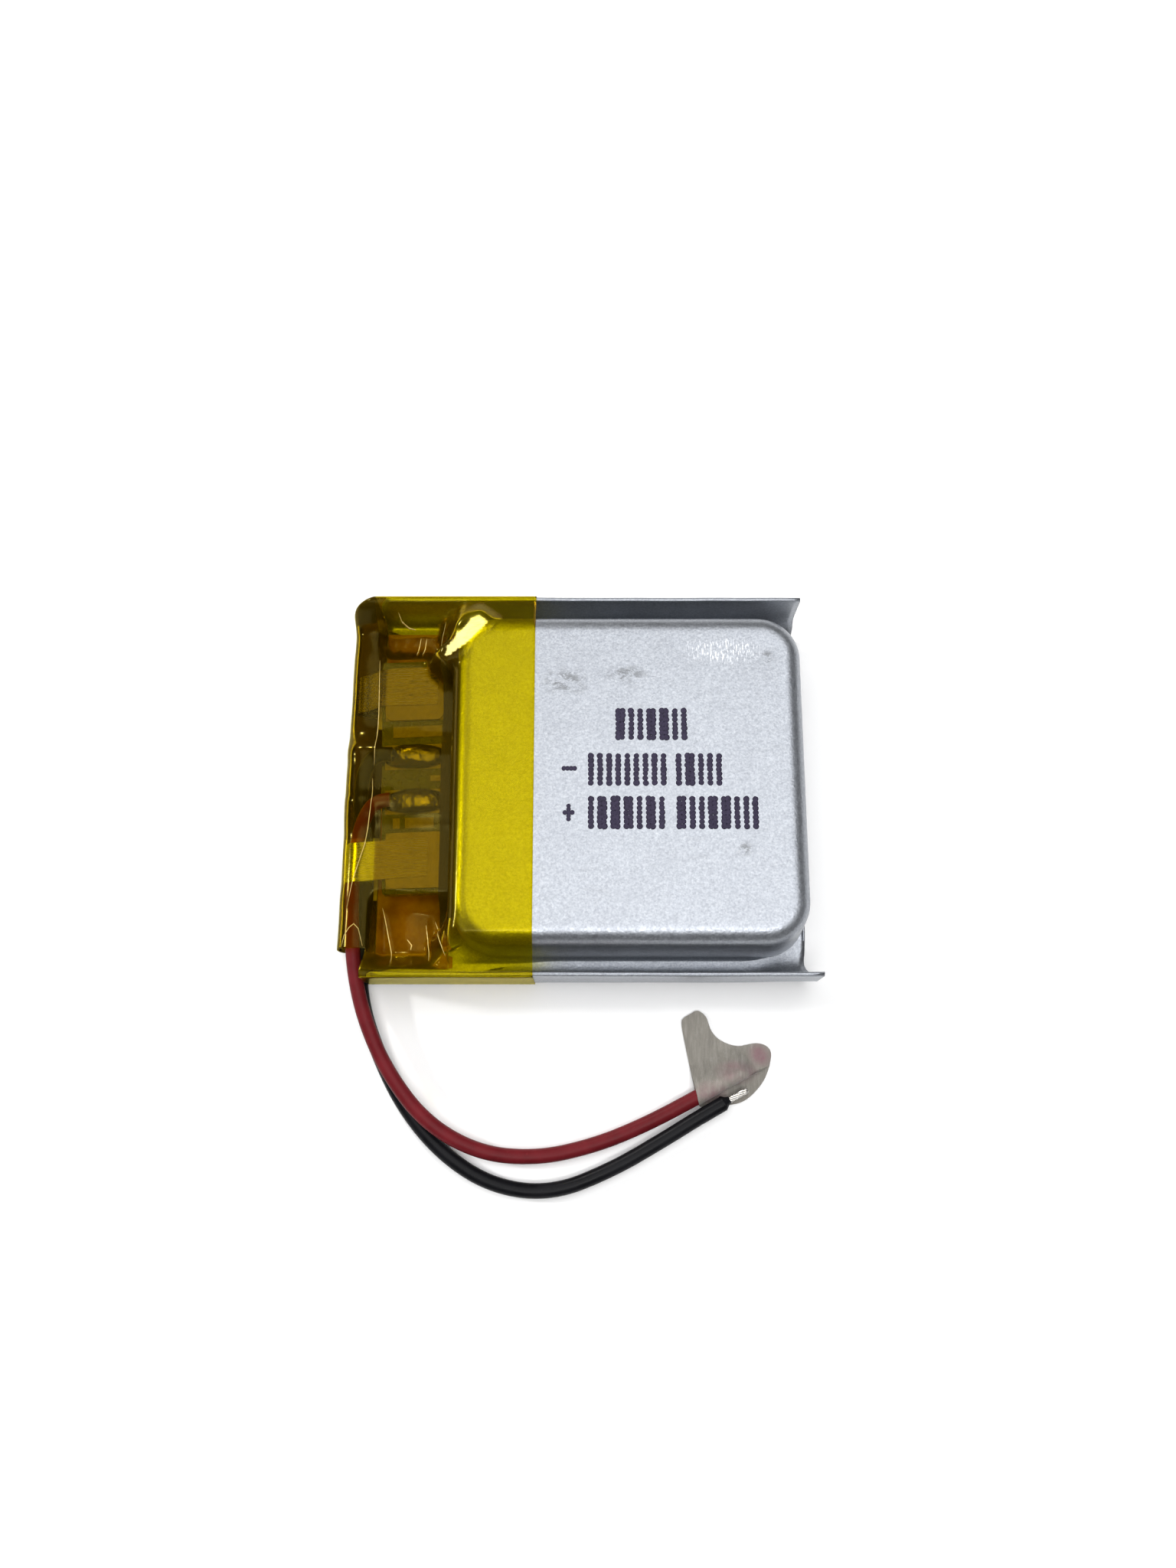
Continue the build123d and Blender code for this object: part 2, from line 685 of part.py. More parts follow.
def sleeve_outline(radius, merge_v):
    """Teardrop round the lead, from the lower ply up one side, over and down to a point."""
    away = math.hypot(merge_v, axis_z - FLAG_PLY)
    slope = math.asin(radius / away) + math.atan2(axis_z - FLAG_PLY, merge_v)
    touch = (radius * math.sin(slope), axis_z + radius * math.cos(slope))
    diagonal = radius / math.sqrt(2)
    with BuildSketch(mode=Mode.PRIVATE) as outline:
        with BuildLine():
            Line((merge_v, FLAG_PLY), touch)
            ThreePointArc(touch, (-diagonal, axis_z + diagonal), (-radius, axis_z))
            Polyline((-radius, axis_z), (-radius, FLAG_PLY), (merge_v, FLAG_PLY))
        make_face()
    return outline.sketch_local


with BuildPart() as lead_tip_tape:
    with BuildSketch(section_plane):
        with Locations((FLAG_BEHIND, FLAG_PLY / 2)):
            Rectangle(2 * FLAG_REACH, FLAG_PLY)
        with Locations((MERGE_V - MERGE_LAP + FLAG_REACH / 2, FLAG_PLY * 1.5)):
            Rectangle(FLAG_REACH, FLAG_PLY)
        add(sleeve_outline(LEAD_RADIUS + PLY_GAP + FLAG_PLY, MERGE_V + MERGE_LAP))
        add(sleeve_outline(LEAD_RADIUS + PLY_GAP, MERGE_V - MERGE_LAP), mode=Mode.SUBTRACT)
    extrude(amount=FLAG_REACH, both=True)
    with BuildSketch(Plane.XY):
        with BuildLine():
            Line(FLAG_LEFT_TOP, FLAG_LEFT_FOOT)
            Line(FLAG_LEFT_FOOT, FLAG_RIGHT_FOOT)
            ThreePointArc(FLAG_RIGHT_FOOT, FLAG_SIDE, FLAG_TOE)
            ThreePointArc(FLAG_TOE, FLAG_TOE_ROUND, FLAG_NOTCH_END)
            ThreePointArc(FLAG_NOTCH_END, FLAG_NOTCH, FLAG_EAR_FOOT)
            ThreePointArc(FLAG_EAR_FOOT, FLAG_EAR_TIP, FLAG_LEFT_TOP)
        make_face()
    extrude(amount=2, mode=Mode.INTERSECT)
save(lead_tip_tape, "lead_tip_tape")
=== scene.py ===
import math

import bmesh
import bpy
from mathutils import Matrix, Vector, geometry, noise


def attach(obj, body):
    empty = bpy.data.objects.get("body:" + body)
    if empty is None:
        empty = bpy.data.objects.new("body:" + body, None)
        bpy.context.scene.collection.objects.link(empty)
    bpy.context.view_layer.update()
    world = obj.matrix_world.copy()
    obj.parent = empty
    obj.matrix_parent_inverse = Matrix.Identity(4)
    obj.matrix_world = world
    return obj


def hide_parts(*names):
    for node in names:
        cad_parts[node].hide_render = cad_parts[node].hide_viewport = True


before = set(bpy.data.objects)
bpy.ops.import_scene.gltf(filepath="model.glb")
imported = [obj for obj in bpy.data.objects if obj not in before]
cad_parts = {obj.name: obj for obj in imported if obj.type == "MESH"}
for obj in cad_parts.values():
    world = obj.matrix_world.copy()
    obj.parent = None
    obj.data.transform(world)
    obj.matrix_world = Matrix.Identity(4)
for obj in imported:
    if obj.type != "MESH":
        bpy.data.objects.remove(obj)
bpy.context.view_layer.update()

# Lengths are in millimetres throughout, and times MM where they reach Blender.
MM = 0.001
scene = bpy.context.scene
scene.view_settings.view_transform = "Standard"

# ------------------------------------------------------------------ camera

CAMERA_PLACE = (0.6, -17.37, 68.64)
CAMERA_TILT = 14.8
CAMERA_LENS = 29.9

camera = bpy.data.objects.new("camera", bpy.data.cameras.new("camera"))
scene.collection.objects.link(camera)
camera.data.sensor_width = 36
camera.data.lens = CAMERA_LENS
camera.data.clip_start = 0.001
camera.data.clip_end = 10
camera.location = tuple(c * MM for c in CAMERA_PLACE)
camera.rotation_euler = (math.radians(CAMERA_TILT), 0, 0)
scene.camera = camera

# ------------------------------------------------------------------ small helpers


def ease(low, high, value):
    """0 below low, 1 above high and a smooth step between; high may be the lower one."""
    t = min(max((value - low) / (high - low), 0.0), 1.0)
    return t * t * (3 - 2 * t)


def quarter(steps):
    """Angles of a quarter turn in even steps, without its start."""
    return [math.radians(90 * k / steps) for k in range(1, steps + 1)]


def full_turn(count):
    """Angles all the way round."""
    return [2 * math.pi * m / count for m in range(count)]


def mix(a, b, t):
    return a + (b - a) * t


def wobble(x, y, z=0.0, scale=1.0):
    """Smooth noise of about -1 to 1 with features of the given size in millimetres."""
    return noise.noise(Vector((x, y, z)) / scale)


def piece(name, points, faces, materials):
    """A mesh object from points in millimetres, riding on the part's one body."""
    mesh = bpy.data.meshes.new(name)
    mesh.from_pydata([(x * MM, y * MM, z * MM) for x, y, z in points], [], faces)
    mesh.validate()
    mesh.update()
    for polygon in mesh.polygons:
        polygon.use_smooth = True
    thing = bpy.data.objects.new(name, mesh)
    scene.collection.objects.link(thing)
    for made in materials if isinstance(materials, list) else [materials]:
        mesh.materials.append(made)
    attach(thing, "root")
    return thing


def quads(rows, columns, start=0, close_columns=False, flip=False):
    """Faces of a grid whose points are listed row by row."""
    faces = []
    for i in range(rows - 1):
        for j in range(columns if close_columns else columns - 1):
            k, m = i + 1, (j + 1) % columns
            face = [start + row * columns + column for row, column in ((i, j), (i, m), (k, m), (k, j))]
            faces.append(face[::-1] if flip else face)
    return faces


def thicken(thing, thickness):
    """Gives a film its thickness, in millimetres, inwards from its faces."""
    solid = thing.modifiers.new("solidify", "SOLIDIFY")
    solid.thickness = thickness * MM
    solid.offset = -1


def weld(thing, distance=0.002):
    """Joins points that lie together, in millimetres, and points the faces outwards."""
    work = bmesh.new()
    work.from_mesh(thing.data)
    bmesh.ops.remove_doubles(work, verts=work.verts, dist=distance * MM)
    bmesh.ops.recalc_face_normals(work, faces=work.faces)
    work.to_mesh(thing.data)
    work.free()
    for polygon in thing.data.polygons:
        polygon.use_smooth = True


def sharpen(thing, degrees=35):
    """Keeps creases sharper than the angle crisp."""
    for edge in thing.data.edges:
        edge.use_edge_sharp = False
    thing.data.set_sharp_from_angle(angle=math.radians(degrees))


# ------------------------------------------------------------------ cords

RED_ROUTE = [
    (-9.75, -0.75, 2.55), (-10.5, -0.8, 2.55), (-11.15, -1.6, 2.1), (-11.55, -2.8, 1.6),
    (-11.75, -4.8, 1.42), (-11.7, -7.1, 1.32), (-11.5, -9.5, 1.22), (-10.85, -12.0, 1.16),
    (-9.6, -14.6, 1.16), (-7.6, -17.1, 1.1), (-4.9, -18.6, 0.6), (-1.9, -18.85, 0.39),
    (1.0, -18.2, 0.39), (3.4, -17.25, 0.4), (5.7, -16.1, 0.43), (7.8, -14.98, 0.43),
]
BLACK_ROUTE = [
    (-9.75, 1.72, 2.55), (-10.5, 1.78, 2.55), (-11.15, 1.2, 2.2), (-11.5, 0.0, 1.6),
    (-11.5, -1.7, 0.98), (-11.15, -3.6, 0.7), (-11.1, -5.9, 0.62), (-11.3, -8.4, 0.52),
    (-11.2, -11.0, 0.4), (-10.15, -13.8, 0.38), (-8.75, -16.4, 0.38), (-6.75, -18.65, 0.38),
    (-4.2, -20.2, 0.38), (-1.2, -20.55, 0.38), (1.8, -19.4, 0.38), (4.4, -17.95, 0.4),
    (6.35, -16.78, 0.43), (7.5, -16.16, 0.43),
]
LEAD_RADIUS = 0.38


def route_curve(name, route):
    """A smooth open spline along a lead's route, with the lead's round section."""
    data = bpy.data.curves.new(name, "CURVE")
    data.dimensions = "3D"
    line = data.splines.new("NURBS")
    line.points.add(len(route) - 1)
    for point, place in zip(line.points, route):
        point.co = (place[0] * MM, place[1] * MM, place[2] * MM, 1)
        point.radius = LEAD_RADIUS * MM
    line.order_u = 3
    line.use_endpoint_u = True
    line.resolution_u = 10
    data.bevel_depth = 1.0
    data.bevel_resolution = 7
    data.use_fill_caps = True
    thing = bpy.data.objects.new(name, data)
    scene.collection.objects.link(thing)
    return thing


def centre_line(thing):
    """Points read from the curve's own spline, in millimetres."""
    depth = thing.data.bevel_depth
    thing.data.bevel_depth = 0
    bpy.context.view_layer.update()
    evaluated = thing.evaluated_get(bpy.context.evaluated_depsgraph_get())
    line = bpy.data.meshes.new_from_object(evaluated)
    points = [vertex.co / MM for vertex in line.vertices]
    bpy.data.meshes.remove(line)
    thing.data.bevel_depth = depth
    return points


def spaced(points, gap):
    """The same line with points at even gaps."""
    out = [points[0]]
    left = gap
    for a, b in zip(points, points[1:]):
        run = (b - a).length
        along = left
        while along < run:
            out.append(a.lerp(b, along / run))
            along += gap
        left = along - run
    out.append(points[-1])
    return out


def frames_along(points):
    """Each point with its normal and binormal, which turn as little as possible."""
    side = Vector((0, 0, 1))
    out = []
    for k, point in enumerate(points):
        tangent = (points[min(k + 1, len(points) - 1)] - points[max(k - 1, 0)]).normalized()
        side = (side - tangent * side.dot(tangent)).normalized()
        out.append((point, side, tangent.cross(side)))
    return out


def towards(side, cross, angle):
    """The direction at an angle round a line, from its normal and binormal."""
    return side * math.cos(angle) + cross * math.sin(angle)


# ------------------------------------------------------------------ materials


class Nodes:
    """Builds one material's node tree in short calls."""

    def __init__(self, name):
        self.made = bpy.data.materials.new(name)
        self.made.use_nodes = True
        self.tree = self.made.node_tree
        self.surface = self.tree.nodes["Principled BSDF"]
        self.output = self.tree.nodes["Material Output"]
        self.place = self.tree.nodes.new("ShaderNodeTexCoord").outputs["Object"]

    def new(self, kind, **settings):
        """A shader node of the kind, with its properties set."""
        node = self.tree.nodes.new("ShaderNode" + kind)
        for key, value in settings.items():
            setattr(node, key, value)
        return node

    def join(self, source, target):
        """A link from an output socket to an input socket."""
        self.tree.links.new(source, target)

    def scaled(self, x=1, y=1, z=1, turn=0):
        """Object coordinates, scaled and turned about Z in degrees."""
        node = self.new("Mapping")
        node.inputs["Scale"].default_value = (x, y, z)
        node.inputs["Rotation"].default_value = (0, 0, math.radians(turn))
        self.join(self.place, node.inputs["Vector"])
        return node.outputs[0]

    def noise(self, size, detail=3, rough=0.55, stretch=None, turn=0):
        """Noise with features of the given size in millimetres."""
        node = self.new("TexNoise")
        node.inputs["Scale"].default_value = 1 / (size * MM)
        node.inputs["Detail"].default_value = detail
        node.inputs["Roughness"].default_value = rough
        self.join(self.scaled(*stretch, turn=turn) if stretch else self.place, node.inputs["Vector"])
        return node.outputs["Fac"]

    def ramp(self, source, *stops):
        """A colour ramp; each stop is a place and a colour or a grey."""
        node = self.new("ValToRGB")
        band = node.color_ramp.elements
        while len(band) < len(stops):
            band.new(0.5)
        for element, (at, colour) in zip(band, stops):
            element.position = at
            element.color = (*colour, 1) if isinstance(colour, tuple) else (colour, colour, colour, 1)
        self.join(source, node.inputs[0])
        return node.outputs["Color"]

    def span(self, source, low, high, to_low=0.0, to_high=1.0):
        """Maps low to high onto another range, held at its ends."""
        node = self.new("MapRange")
        node.inputs["From Min"].default_value = low
        node.inputs["From Max"].default_value = high
        node.inputs["To Min"].default_value = to_low
        node.inputs["To Max"].default_value = to_high
        self.join(source, node.inputs["Value"])
        return node.outputs[0]

    def times(self, a, b):
        """The product of two sockets or numbers."""
        node = self.new("Math", operation="MULTIPLY")
        for socket, value in zip(node.inputs, (a, b)):
            if isinstance(value, (int, float)):
                socket.default_value = value
            else:
                self.join(value, socket)
        return node.outputs[0]

    def sheen(self, source, rough):
        """Roughness that varies a little about one value with a grain or cloud."""
        return self.span(source, 0.3, 0.7, rough - 0.06, rough + 0.08)

    def spot(self, x, y, wide, high):
        """1 at a place on the object in millimetres, and 0 past an ellipse about it."""
        node = self.new("Mapping")
        node.inputs["Location"].default_value = (-x / wide, -y / high, 0)
        node.inputs["Scale"].default_value = (1 / (wide * MM), 1 / (high * MM), 0)
        self.join(self.place, node.inputs["Vector"])
        size = self.new("VectorMath", operation="LENGTH")
        self.join(node.outputs[0], size.inputs[0])
        return self.span(size.outputs["Value"], 1.0, 0.35)

    def blend(self, factor, a, b):
        """Colour a, turning to colour b as the factor goes from 0 to 1."""
        node = self.new("Mix", data_type="RGBA", blend_type="MIX")
        for name, value in (("Factor", factor), ("A", a), ("B", b)):
            socket = [s for s in node.inputs if s.name == name and s.enabled][0]
            if isinstance(value, (int, float)):
                socket.default_value = value
            elif isinstance(value, tuple):
                socket.default_value = (*value, 1)
            else:
                self.join(value, socket)
        return [s for s in node.outputs if s.enabled][0]

    def bump(self, *layers):
        """Layers of (height, depth in millimetres), one on another."""
        before = None
        for height, depth in layers:
            node = self.new("Bump")
            node.inputs["Distance"].default_value = depth * MM
            self.join(height, node.inputs["Height"])
            if before:
                self.join(before, node.inputs["Normal"])
            before = node.outputs[0]
        self.join(before, self.surface.inputs["Normal"])
        return before

    def set(self, **sockets):
        """Sets or joins the surface's own sockets, and gives the material."""
        for key, value in sockets.items():
            socket = self.surface.inputs[key.replace("_", " ")]
            if isinstance(value, (int, float)):
                socket.default_value = value
            elif isinstance(value, tuple):
                socket.default_value = (*value, 1) if len(value) == 3 else value
            else:
                self.join(value, socket)
        return self.made


# Grey smears on the pressed face, and one patch of painted highlight streaks where its dents catch the light: x,
# y, half length and half width
SMEARS = ((-0.6, 4.9, 1.5, 0.9), (2.6, 5.3, 1.3, 0.6), (8.4, -3.9, 0.6, 0.45), (9.9, 6.3, 0.4, 0.4))
HIGHLIGHT_STREAKS = (7.6, 6.6, 2.4, 0.9)


def laminate():
    """Matt aluminium laminate with a fine grain, faint clouds, darker scuffs, smears, specks and a patch of
    painted highlight streaks.
    """
    n = Nodes("pouch_laminate")
    grain = n.noise(0.1, detail=2, rough=0.6)
    cloud = n.noise(2.6, detail=3)
    speck = n.noise(0.34, detail=5, rough=0.75)
    scuff = n.noise(0.5, detail=5, rough=0.7, stretch=(0.35, 1.0, 1.0), turn=12)
    patch = n.noise(3.4, detail=1)
    greys = (0.25, (0.27, 0.285, 0.315)), (0.5, (0.345, 0.365, 0.40)), (0.78, (0.45, 0.47, 0.50))
    base = n.ramp(grain, *greys)
    base = n.blend(n.span(cloud, 0.3, 0.75, 0.0, 0.22), base, (0.26, 0.27, 0.30))
    rubbed = n.times(n.span(scuff, 0.56, 0.66), n.span(patch, 0.58, 0.68))
    base = n.blend(n.times(rubbed, 0.25), base, (0.22, 0.225, 0.24))
    smear = n.span(n.noise(0.32, detail=5, rough=0.75, stretch=(0.5, 1.0, 1.0), turn=25), 0.46, 0.56)
    for place in SMEARS:
        near = n.times(n.spot(*place), smear)
        base = n.blend(n.times(near, 0.75), base, (0.13, 0.135, 0.14))
    # Painted highlight: near-white streaks over the dented patch, where light glances off the dents.
    streak = n.span(n.noise(0.2, detail=4, stretch=(3.0, 0.6, 1.0)), 0.54, 0.64)
    near = n.times(n.spot(*HIGHLIGHT_STREAKS), streak)
    base = n.blend(n.times(near, 0.8), base, (0.9, 0.92, 0.95))
    base = n.blend(n.span(speck, 0.735, 0.77), base, (0.12, 0.12, 0.14))
    rough = n.span(n.noise(0.22, detail=2), 0.3, 0.7, 0.34, 0.46)
    n.bump((n.noise(0.14, detail=2), 0.012), (n.noise(1.3, detail=2), 0.02))
    return n.set(Base_Color=base, Metallic=0.85, Roughness=rough, Specular_IOR_Level=0.5)


def amber(name, tint, body, share):
    """Glossy polyimide film: tints what is under it, and shows a little of its own colour."""
    n = Nodes(name)
    cloud = n.noise(1.6, detail=4, rough=0.6)
    streak = n.noise(0.5, detail=3, stretch=(0.15, 1.0, 1.0), turn=80)
    colour = n.ramp(cloud, (0.3, body), (0.75, tuple(c * 1.3 for c in body)))
    normal = n.bump((n.noise(1.1, detail=2), 0.010), (streak, 0.004))
    n.set(Base_Color=colour, Roughness=0.6, Specular_IOR_Level=0.0)
    clear = n.new("BsdfTransparent")
    clear.inputs["Color"].default_value = (*tint, 1)
    film = n.new("MixShader")
    film.inputs[0].default_value = share
    n.join(clear.outputs[0], film.inputs[1])
    n.join(n.surface.outputs[0], film.inputs[2])
    gloss = n.new("BsdfGlossy")
    gloss.inputs["Color"].default_value = (1.0, 0.88, 0.32, 1)
    gloss.inputs["Roughness"].default_value = 0.15
    n.join(normal, gloss.inputs["Normal"])
    mirror = n.new("Fresnel")
    mirror.inputs["IOR"].default_value = 1.2
    n.join(normal, mirror.inputs["Normal"])
    outer = n.new("MixShader")
    n.join(mirror.outputs[0], outer.inputs[0])
    n.join(film.outputs[0], outer.inputs[1])
    n.join(gloss.outputs[0], outer.inputs[2])
    n.join(outer.outputs[0], n.output.inputs["Surface"])
    return n.made


def metal(name, dark, light, rough, streaks=0.0, dent=0.01, grain=0.3):
    """Bare metal with a grain along X, or an even one."""
    n = Nodes(name)
    stretch = (0.06, 1.0, 1.0) if streaks else None
    lines = n.noise(streaks or grain, detail=4, stretch=stretch)
    cloud = n.noise(1.1, detail=3)
    base = n.ramp(lines, (0.3, dark), (0.7, light))
    base = n.blend(n.span(cloud, 0.45, 0.8, 0.0, 0.35), base, tuple(c * 0.62 for c in dark))
    n.bump((lines, dent), (cloud, dent * 1.5))
    return n.set(Base_Color=base, Metallic=0.95, Roughness=n.sheen(lines, rough))


def insulation(name, dark, light, rough):
    """Soft lead insulation with a little dust."""
    n = Nodes(name)
    cloud = n.noise(1.4, detail=3)
    dust = n.noise(0.16, detail=3, rough=0.7)
    base = n.ramp(cloud, (0.3, dark), (0.75, light))
    base = n.blend(n.span(dust, 0.62, 0.8, 0.0, 0.4), base, tuple(min(1, c * 1.6 + 0.012) for c in light))
    n.bump((dust, 0.006), (n.noise(0.6, detail=2), 0.012))
    return n.set(Base_Color=base, Roughness=n.sheen(cloud, rough), Specular_IOR_Level=0.1)


# Pinkish stains along the lead under the flag: x, y, half length and half width
STAINS = ((6.9, -15.6, 1.0, 0.7), (8.2, -14.6, 1.3, 0.7), (9.5, -13.7, 0.8, 0.7))


def cloth_flag():
    """Grey cloth tape with a visible weave and stains."""
    n = Nodes("cloth_tape")
    fibre = n.noise(0.28, detail=5, rough=0.65, stretch=(1.6, 0.22, 1.0), turn=-8)
    weave = n.noise(0.12, detail=3, rough=0.7)
    stain = n.noise(1.3, detail=3, rough=0.6)
    greys = (0.28, (0.17, 0.155, 0.135)), (0.5, (0.23, 0.215, 0.185)), (0.78, (0.33, 0.31, 0.28))
    base = n.ramp(fibre, *greys)
    base = n.blend(n.span(weave, 0.6, 0.8, 0.0, 0.5), base, (0.40, 0.385, 0.36))
    for place in STAINS:
        reach = n.times(n.spot(*place), n.span(stain, 0.35, 0.65, 0.15, 1.0))
        base = n.blend(n.times(reach, 0.8), base, (0.22, 0.095, 0.12))
    n.bump((fibre, 0.03), (weave, 0.015))
    return n.set(Base_Color=base, Roughness=n.span(fibre, 0.3, 0.7, 0.62, 0.82), Sheen_Weight=0.25)


def board_mask():
    """Dark green solder mask over faint tracks."""
    n = Nodes("circuit_board")
    cell = n.new("TexVoronoi", feature="DISTANCE_TO_EDGE", distance="CHEBYCHEV")
    cell.inputs["Scale"].default_value = 1 / (0.75 * MM)
    cell.inputs["Randomness"].default_value = 0.7
    n.join(n.place, cell.inputs["Vector"])
    track = n.span(cell.outputs["Distance"], 0.05, 0.08)
    cloud = n.noise(0.9, detail=3)
    base = n.ramp(cloud, (0.3, (0.003, 0.014, 0.008)), (0.75, (0.006, 0.024, 0.012)))
    base = n.blend(n.times(track, 0.45), base, (0.014, 0.045, 0.019))
    n.bump((track, 0.012), (n.noise(0.2, detail=2), 0.003))
    return n.set(Base_Color=base, Roughness=n.span(cloud, 0.3, 0.7, 0.2, 0.34), Coat_Weight=0.4)


def plain(name, dark, light, rough, size=0.3, dent=0.008, metal_share=0.0):
    """A fine-grained surface, such as a coating, a film or a moulded package."""
    n = Nodes(name)
    grain = n.noise(size, detail=4, rough=0.65)
    cloud = n.noise(size * 8, detail=2)
    base = n.ramp(grain, (0.3, dark), (0.72, light))
    base = n.blend(n.span(cloud, 0.4, 0.8, 0.0, 0.3), base, tuple(c * 0.7 for c in dark))
    n.bump((grain, dent))
    return n.set(Base_Color=base, Metallic=metal_share, Roughness=n.sheen(grain, rough))


def ink():
    """Dark marking ink with a slight bleed."""
    n = Nodes("marking_ink")
    bleed = n.noise(0.1, detail=4, rough=0.7)
    base = n.ramp(bleed, (0.3, (0.018, 0.015, 0.03)), (0.75, (0.055, 0.045, 0.085)))
    n.bump((bleed, 0.004))
    return n.set(Base_Color=base, Roughness=n.span(bleed, 0.3, 0.7, 0.45, 0.65), Specular_IOR_Level=0.12)


LAMINATE = laminate()
# Three tones of tape: one layer over the cup; deeper amber over the board and the pocket, partly for the doubled
# tape and partly painted shade of the hollows under it; and darkest amber, partly for many layers and partly
# painted shade, which also paints the shadow band below the cup's end.
TAPE = amber("polyimide_tape", (1.0, 0.94, 0.2), (0.22, 0.15, 0.0), 0.05)
DEEP_TAPE = amber("polyimide_tape_doubled_shaded", (0.84, 0.74, 0.15), (0.10, 0.06, 0.0), 0.06)
DARK_TAPE = amber("polyimide_tape_layers_shaded", (0.55, 0.42, 0.1), (0.045, 0.028, 0.001), 0.6)
TERRACE = plain("terrace_insulation", (0.24, 0.10, 0.01), (0.40, 0.19, 0.02), 0.22, 0.8, 0.02)
# Light amber of the fold strips: painted highlight on the tape's creases.
FOLD_HIGHLIGHT = plain("polyimide_tape_fold_highlight", (0.62, 0.42, 0.08), (0.95, 0.75, 0.30), 0.2, 0.15, 0.004)
NICKEL = metal("nickel", (0.165, 0.148, 0.122), (0.215, 0.195, 0.168), 0.26, streaks=0.07, dent=0.004)
PAD_METAL = metal("board_copper", (0.13, 0.115, 0.08), (0.20, 0.18, 0.12), 0.34, grain=0.2)
WELD_PAD = metal("weld_pad_nickel", (0.15, 0.13, 0.095), (0.25, 0.22, 0.165), 0.34, dent=0.006, grain=0.12)
SOLDER = metal("solder", (0.12, 0.12, 0.11), (0.42, 0.41, 0.39), 0.14, dent=0.07, grain=0.3)
STRANDS = metal("tinned_copper", (0.50, 0.48, 0.45), (0.78, 0.76, 0.72), 0.24, grain=0.15)
RED = insulation("red_insulation", (0.105, 0.008, 0.011), (0.16, 0.013, 0.018), 0.42)
BLACK = insulation("black_insulation", (0.004, 0.004, 0.005), (0.009, 0.009, 0.011), 0.36)
FLAG = cloth_flag()
BOARD = board_mask()
INK = ink()

INSIDE = {
    "cathode_plate": plain("cathode_coating", (0.035, 0.035, 0.04), (0.075, 0.075, 0.08), 0.72, 0.12),
    "anode_plate": plain(
        "anode_coating", (0.055, 0.055, 0.065), (0.12, 0.12, 0.13), 0.6, 0.1, metal_share=0.2
    ),
    "separator": plain("separator_film", (0.80, 0.80, 0.80), (0.92, 0.92, 0.91), 0.5, 0.25),
    "stack_tape": plain("stack_binding", (0.05, 0.25, 0.15), (0.10, 0.38, 0.24), 0.25, 0.4),
    "positive_foil": metal("aluminium_foil", (0.68, 0.69, 0.70), (0.84, 0.85, 0.86), 0.25, streaks=0.1),
    "negative_foil": metal("copper_foil", (0.62, 0.30, 0.18), (0.80, 0.46, 0.30), 0.28, streaks=0.1),
    "sealant": plain("tab_sealant", (0.55, 0.53, 0.43), (0.70, 0.68, 0.58), 0.35, 0.3),
    "ic": plain("chip_package", (0.018, 0.018, 0.02), (0.04, 0.04, 0.043), 0.55, 0.08),
    "mosfet": plain("chip_package_large", (0.018, 0.018, 0.02), (0.04, 0.04, 0.043), 0.55, 0.08),
    "resistor": plain("ceramic_resistor", (0.05, 0.05, 0.055), (0.11, 0.11, 0.12), 0.4, 0.1),
    "capacitor": plain("ceramic_capacitor", (0.30, 0.20, 0.12), (0.44, 0.31, 0.20), 0.45, 0.1),
}

# ------------------------------------------------------------------ leads


STRAND_COUNT, STRAND_RADIUS, STRAND_CIRCLE = 7, 0.058, 0.103
STRAND_TWIST = 2.2


def strands(name, line, tip_length):
    """Tinned strands, one in the middle and the rest twisted round it, a little gathered at the tip."""
    whole = spaced(line, 0.22)
    tip_run = (line[-1] - line[-2]).normalized()
    steps = max(4, round(tip_length / 0.06))
    whole += [line[-1] + tip_run * tip_length * (k + 1) / steps for k in range(steps)]
    places = frames_along(whole)
    points, faces = [], []
    for strand in range(STRAND_COUNT):
        start = len(points)
        along = 0.0
        for k, (point, side, cross) in enumerate(places):
            if k:
                along += (whole[k] - whole[k - 1]).length
            turn = strand * math.pi / 3 + along * STRAND_TWIST
            out = 0.0 if strand == STRAND_COUNT - 1 else STRAND_CIRCLE
            gather = 1 - 0.25 * ease(len(places) - 4, len(places), k)
            middle = point + towards(side, cross, turn) * out * gather
            for angle in full_turn(8):
                points.append(middle + towards(side, cross, angle) * STRAND_RADIUS * gather)
        faces += quads(len(places), 8, start, close_columns=True, flip=True)
        faces.append([start + m for m in range(8)])
        faces.append([start + (len(places) - 1) * 8 + m for m in range(8)][::-1])
    return piece(name, points, faces, STRANDS)


red = route_curve("red_lead", RED_ROUTE)
black = route_curve("black_lead", BLACK_ROUTE)
for lead, made, slot_name, node in (
    (red, RED, "red_insulation", "red_lead_insulation"),
    (black, BLACK, "black_insulation", "black_lead_insulation"),
):
    lead.data.materials.append(made)
    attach(lead, "root")
    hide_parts(node)
red_line = centre_line(red)
black_line = centre_line(black)
red_strands = strands("red_lead_strands", red_line, 0.9)
black_strands = strands("black_lead_strands", black_line, 1.4)
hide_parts("red_lead_conductor")
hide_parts("black_lead_conductor")

# A short neck where the black lead's insulation was pulled back: places past its end, and radii
NECK = ((-0.06, 0.372), (0.04, 0.36), (0.12, 0.29), (0.2, 0.23), (0.36, 0.18))
NECK_SIDES = 24

tip, run = black_line[-1], (black_line[-1] - black_line[-2]).normalized()
points = []
for (point, side, cross), (_, radius) in zip(frames_along([tip + run * past for past, _ in NECK]), NECK):
    for angle in full_turn(NECK_SIDES):
        ragged = radius * (1 + 0.05 * math.sin(3 * angle) + 0.03 * math.sin(7 * angle))
        points.append(point + towards(side, cross, angle) * ragged)
faces = quads(len(NECK), NECK_SIDES, close_columns=True, flip=True)
faces += [list(range(NECK_SIDES)), list(range(len(points) - NECK_SIDES, len(points)))[::-1]]
black_neck = piece("black_lead_neck", points, faces, BLACK)

# ------------------------------------------------------------------ flag on the red lead's tip

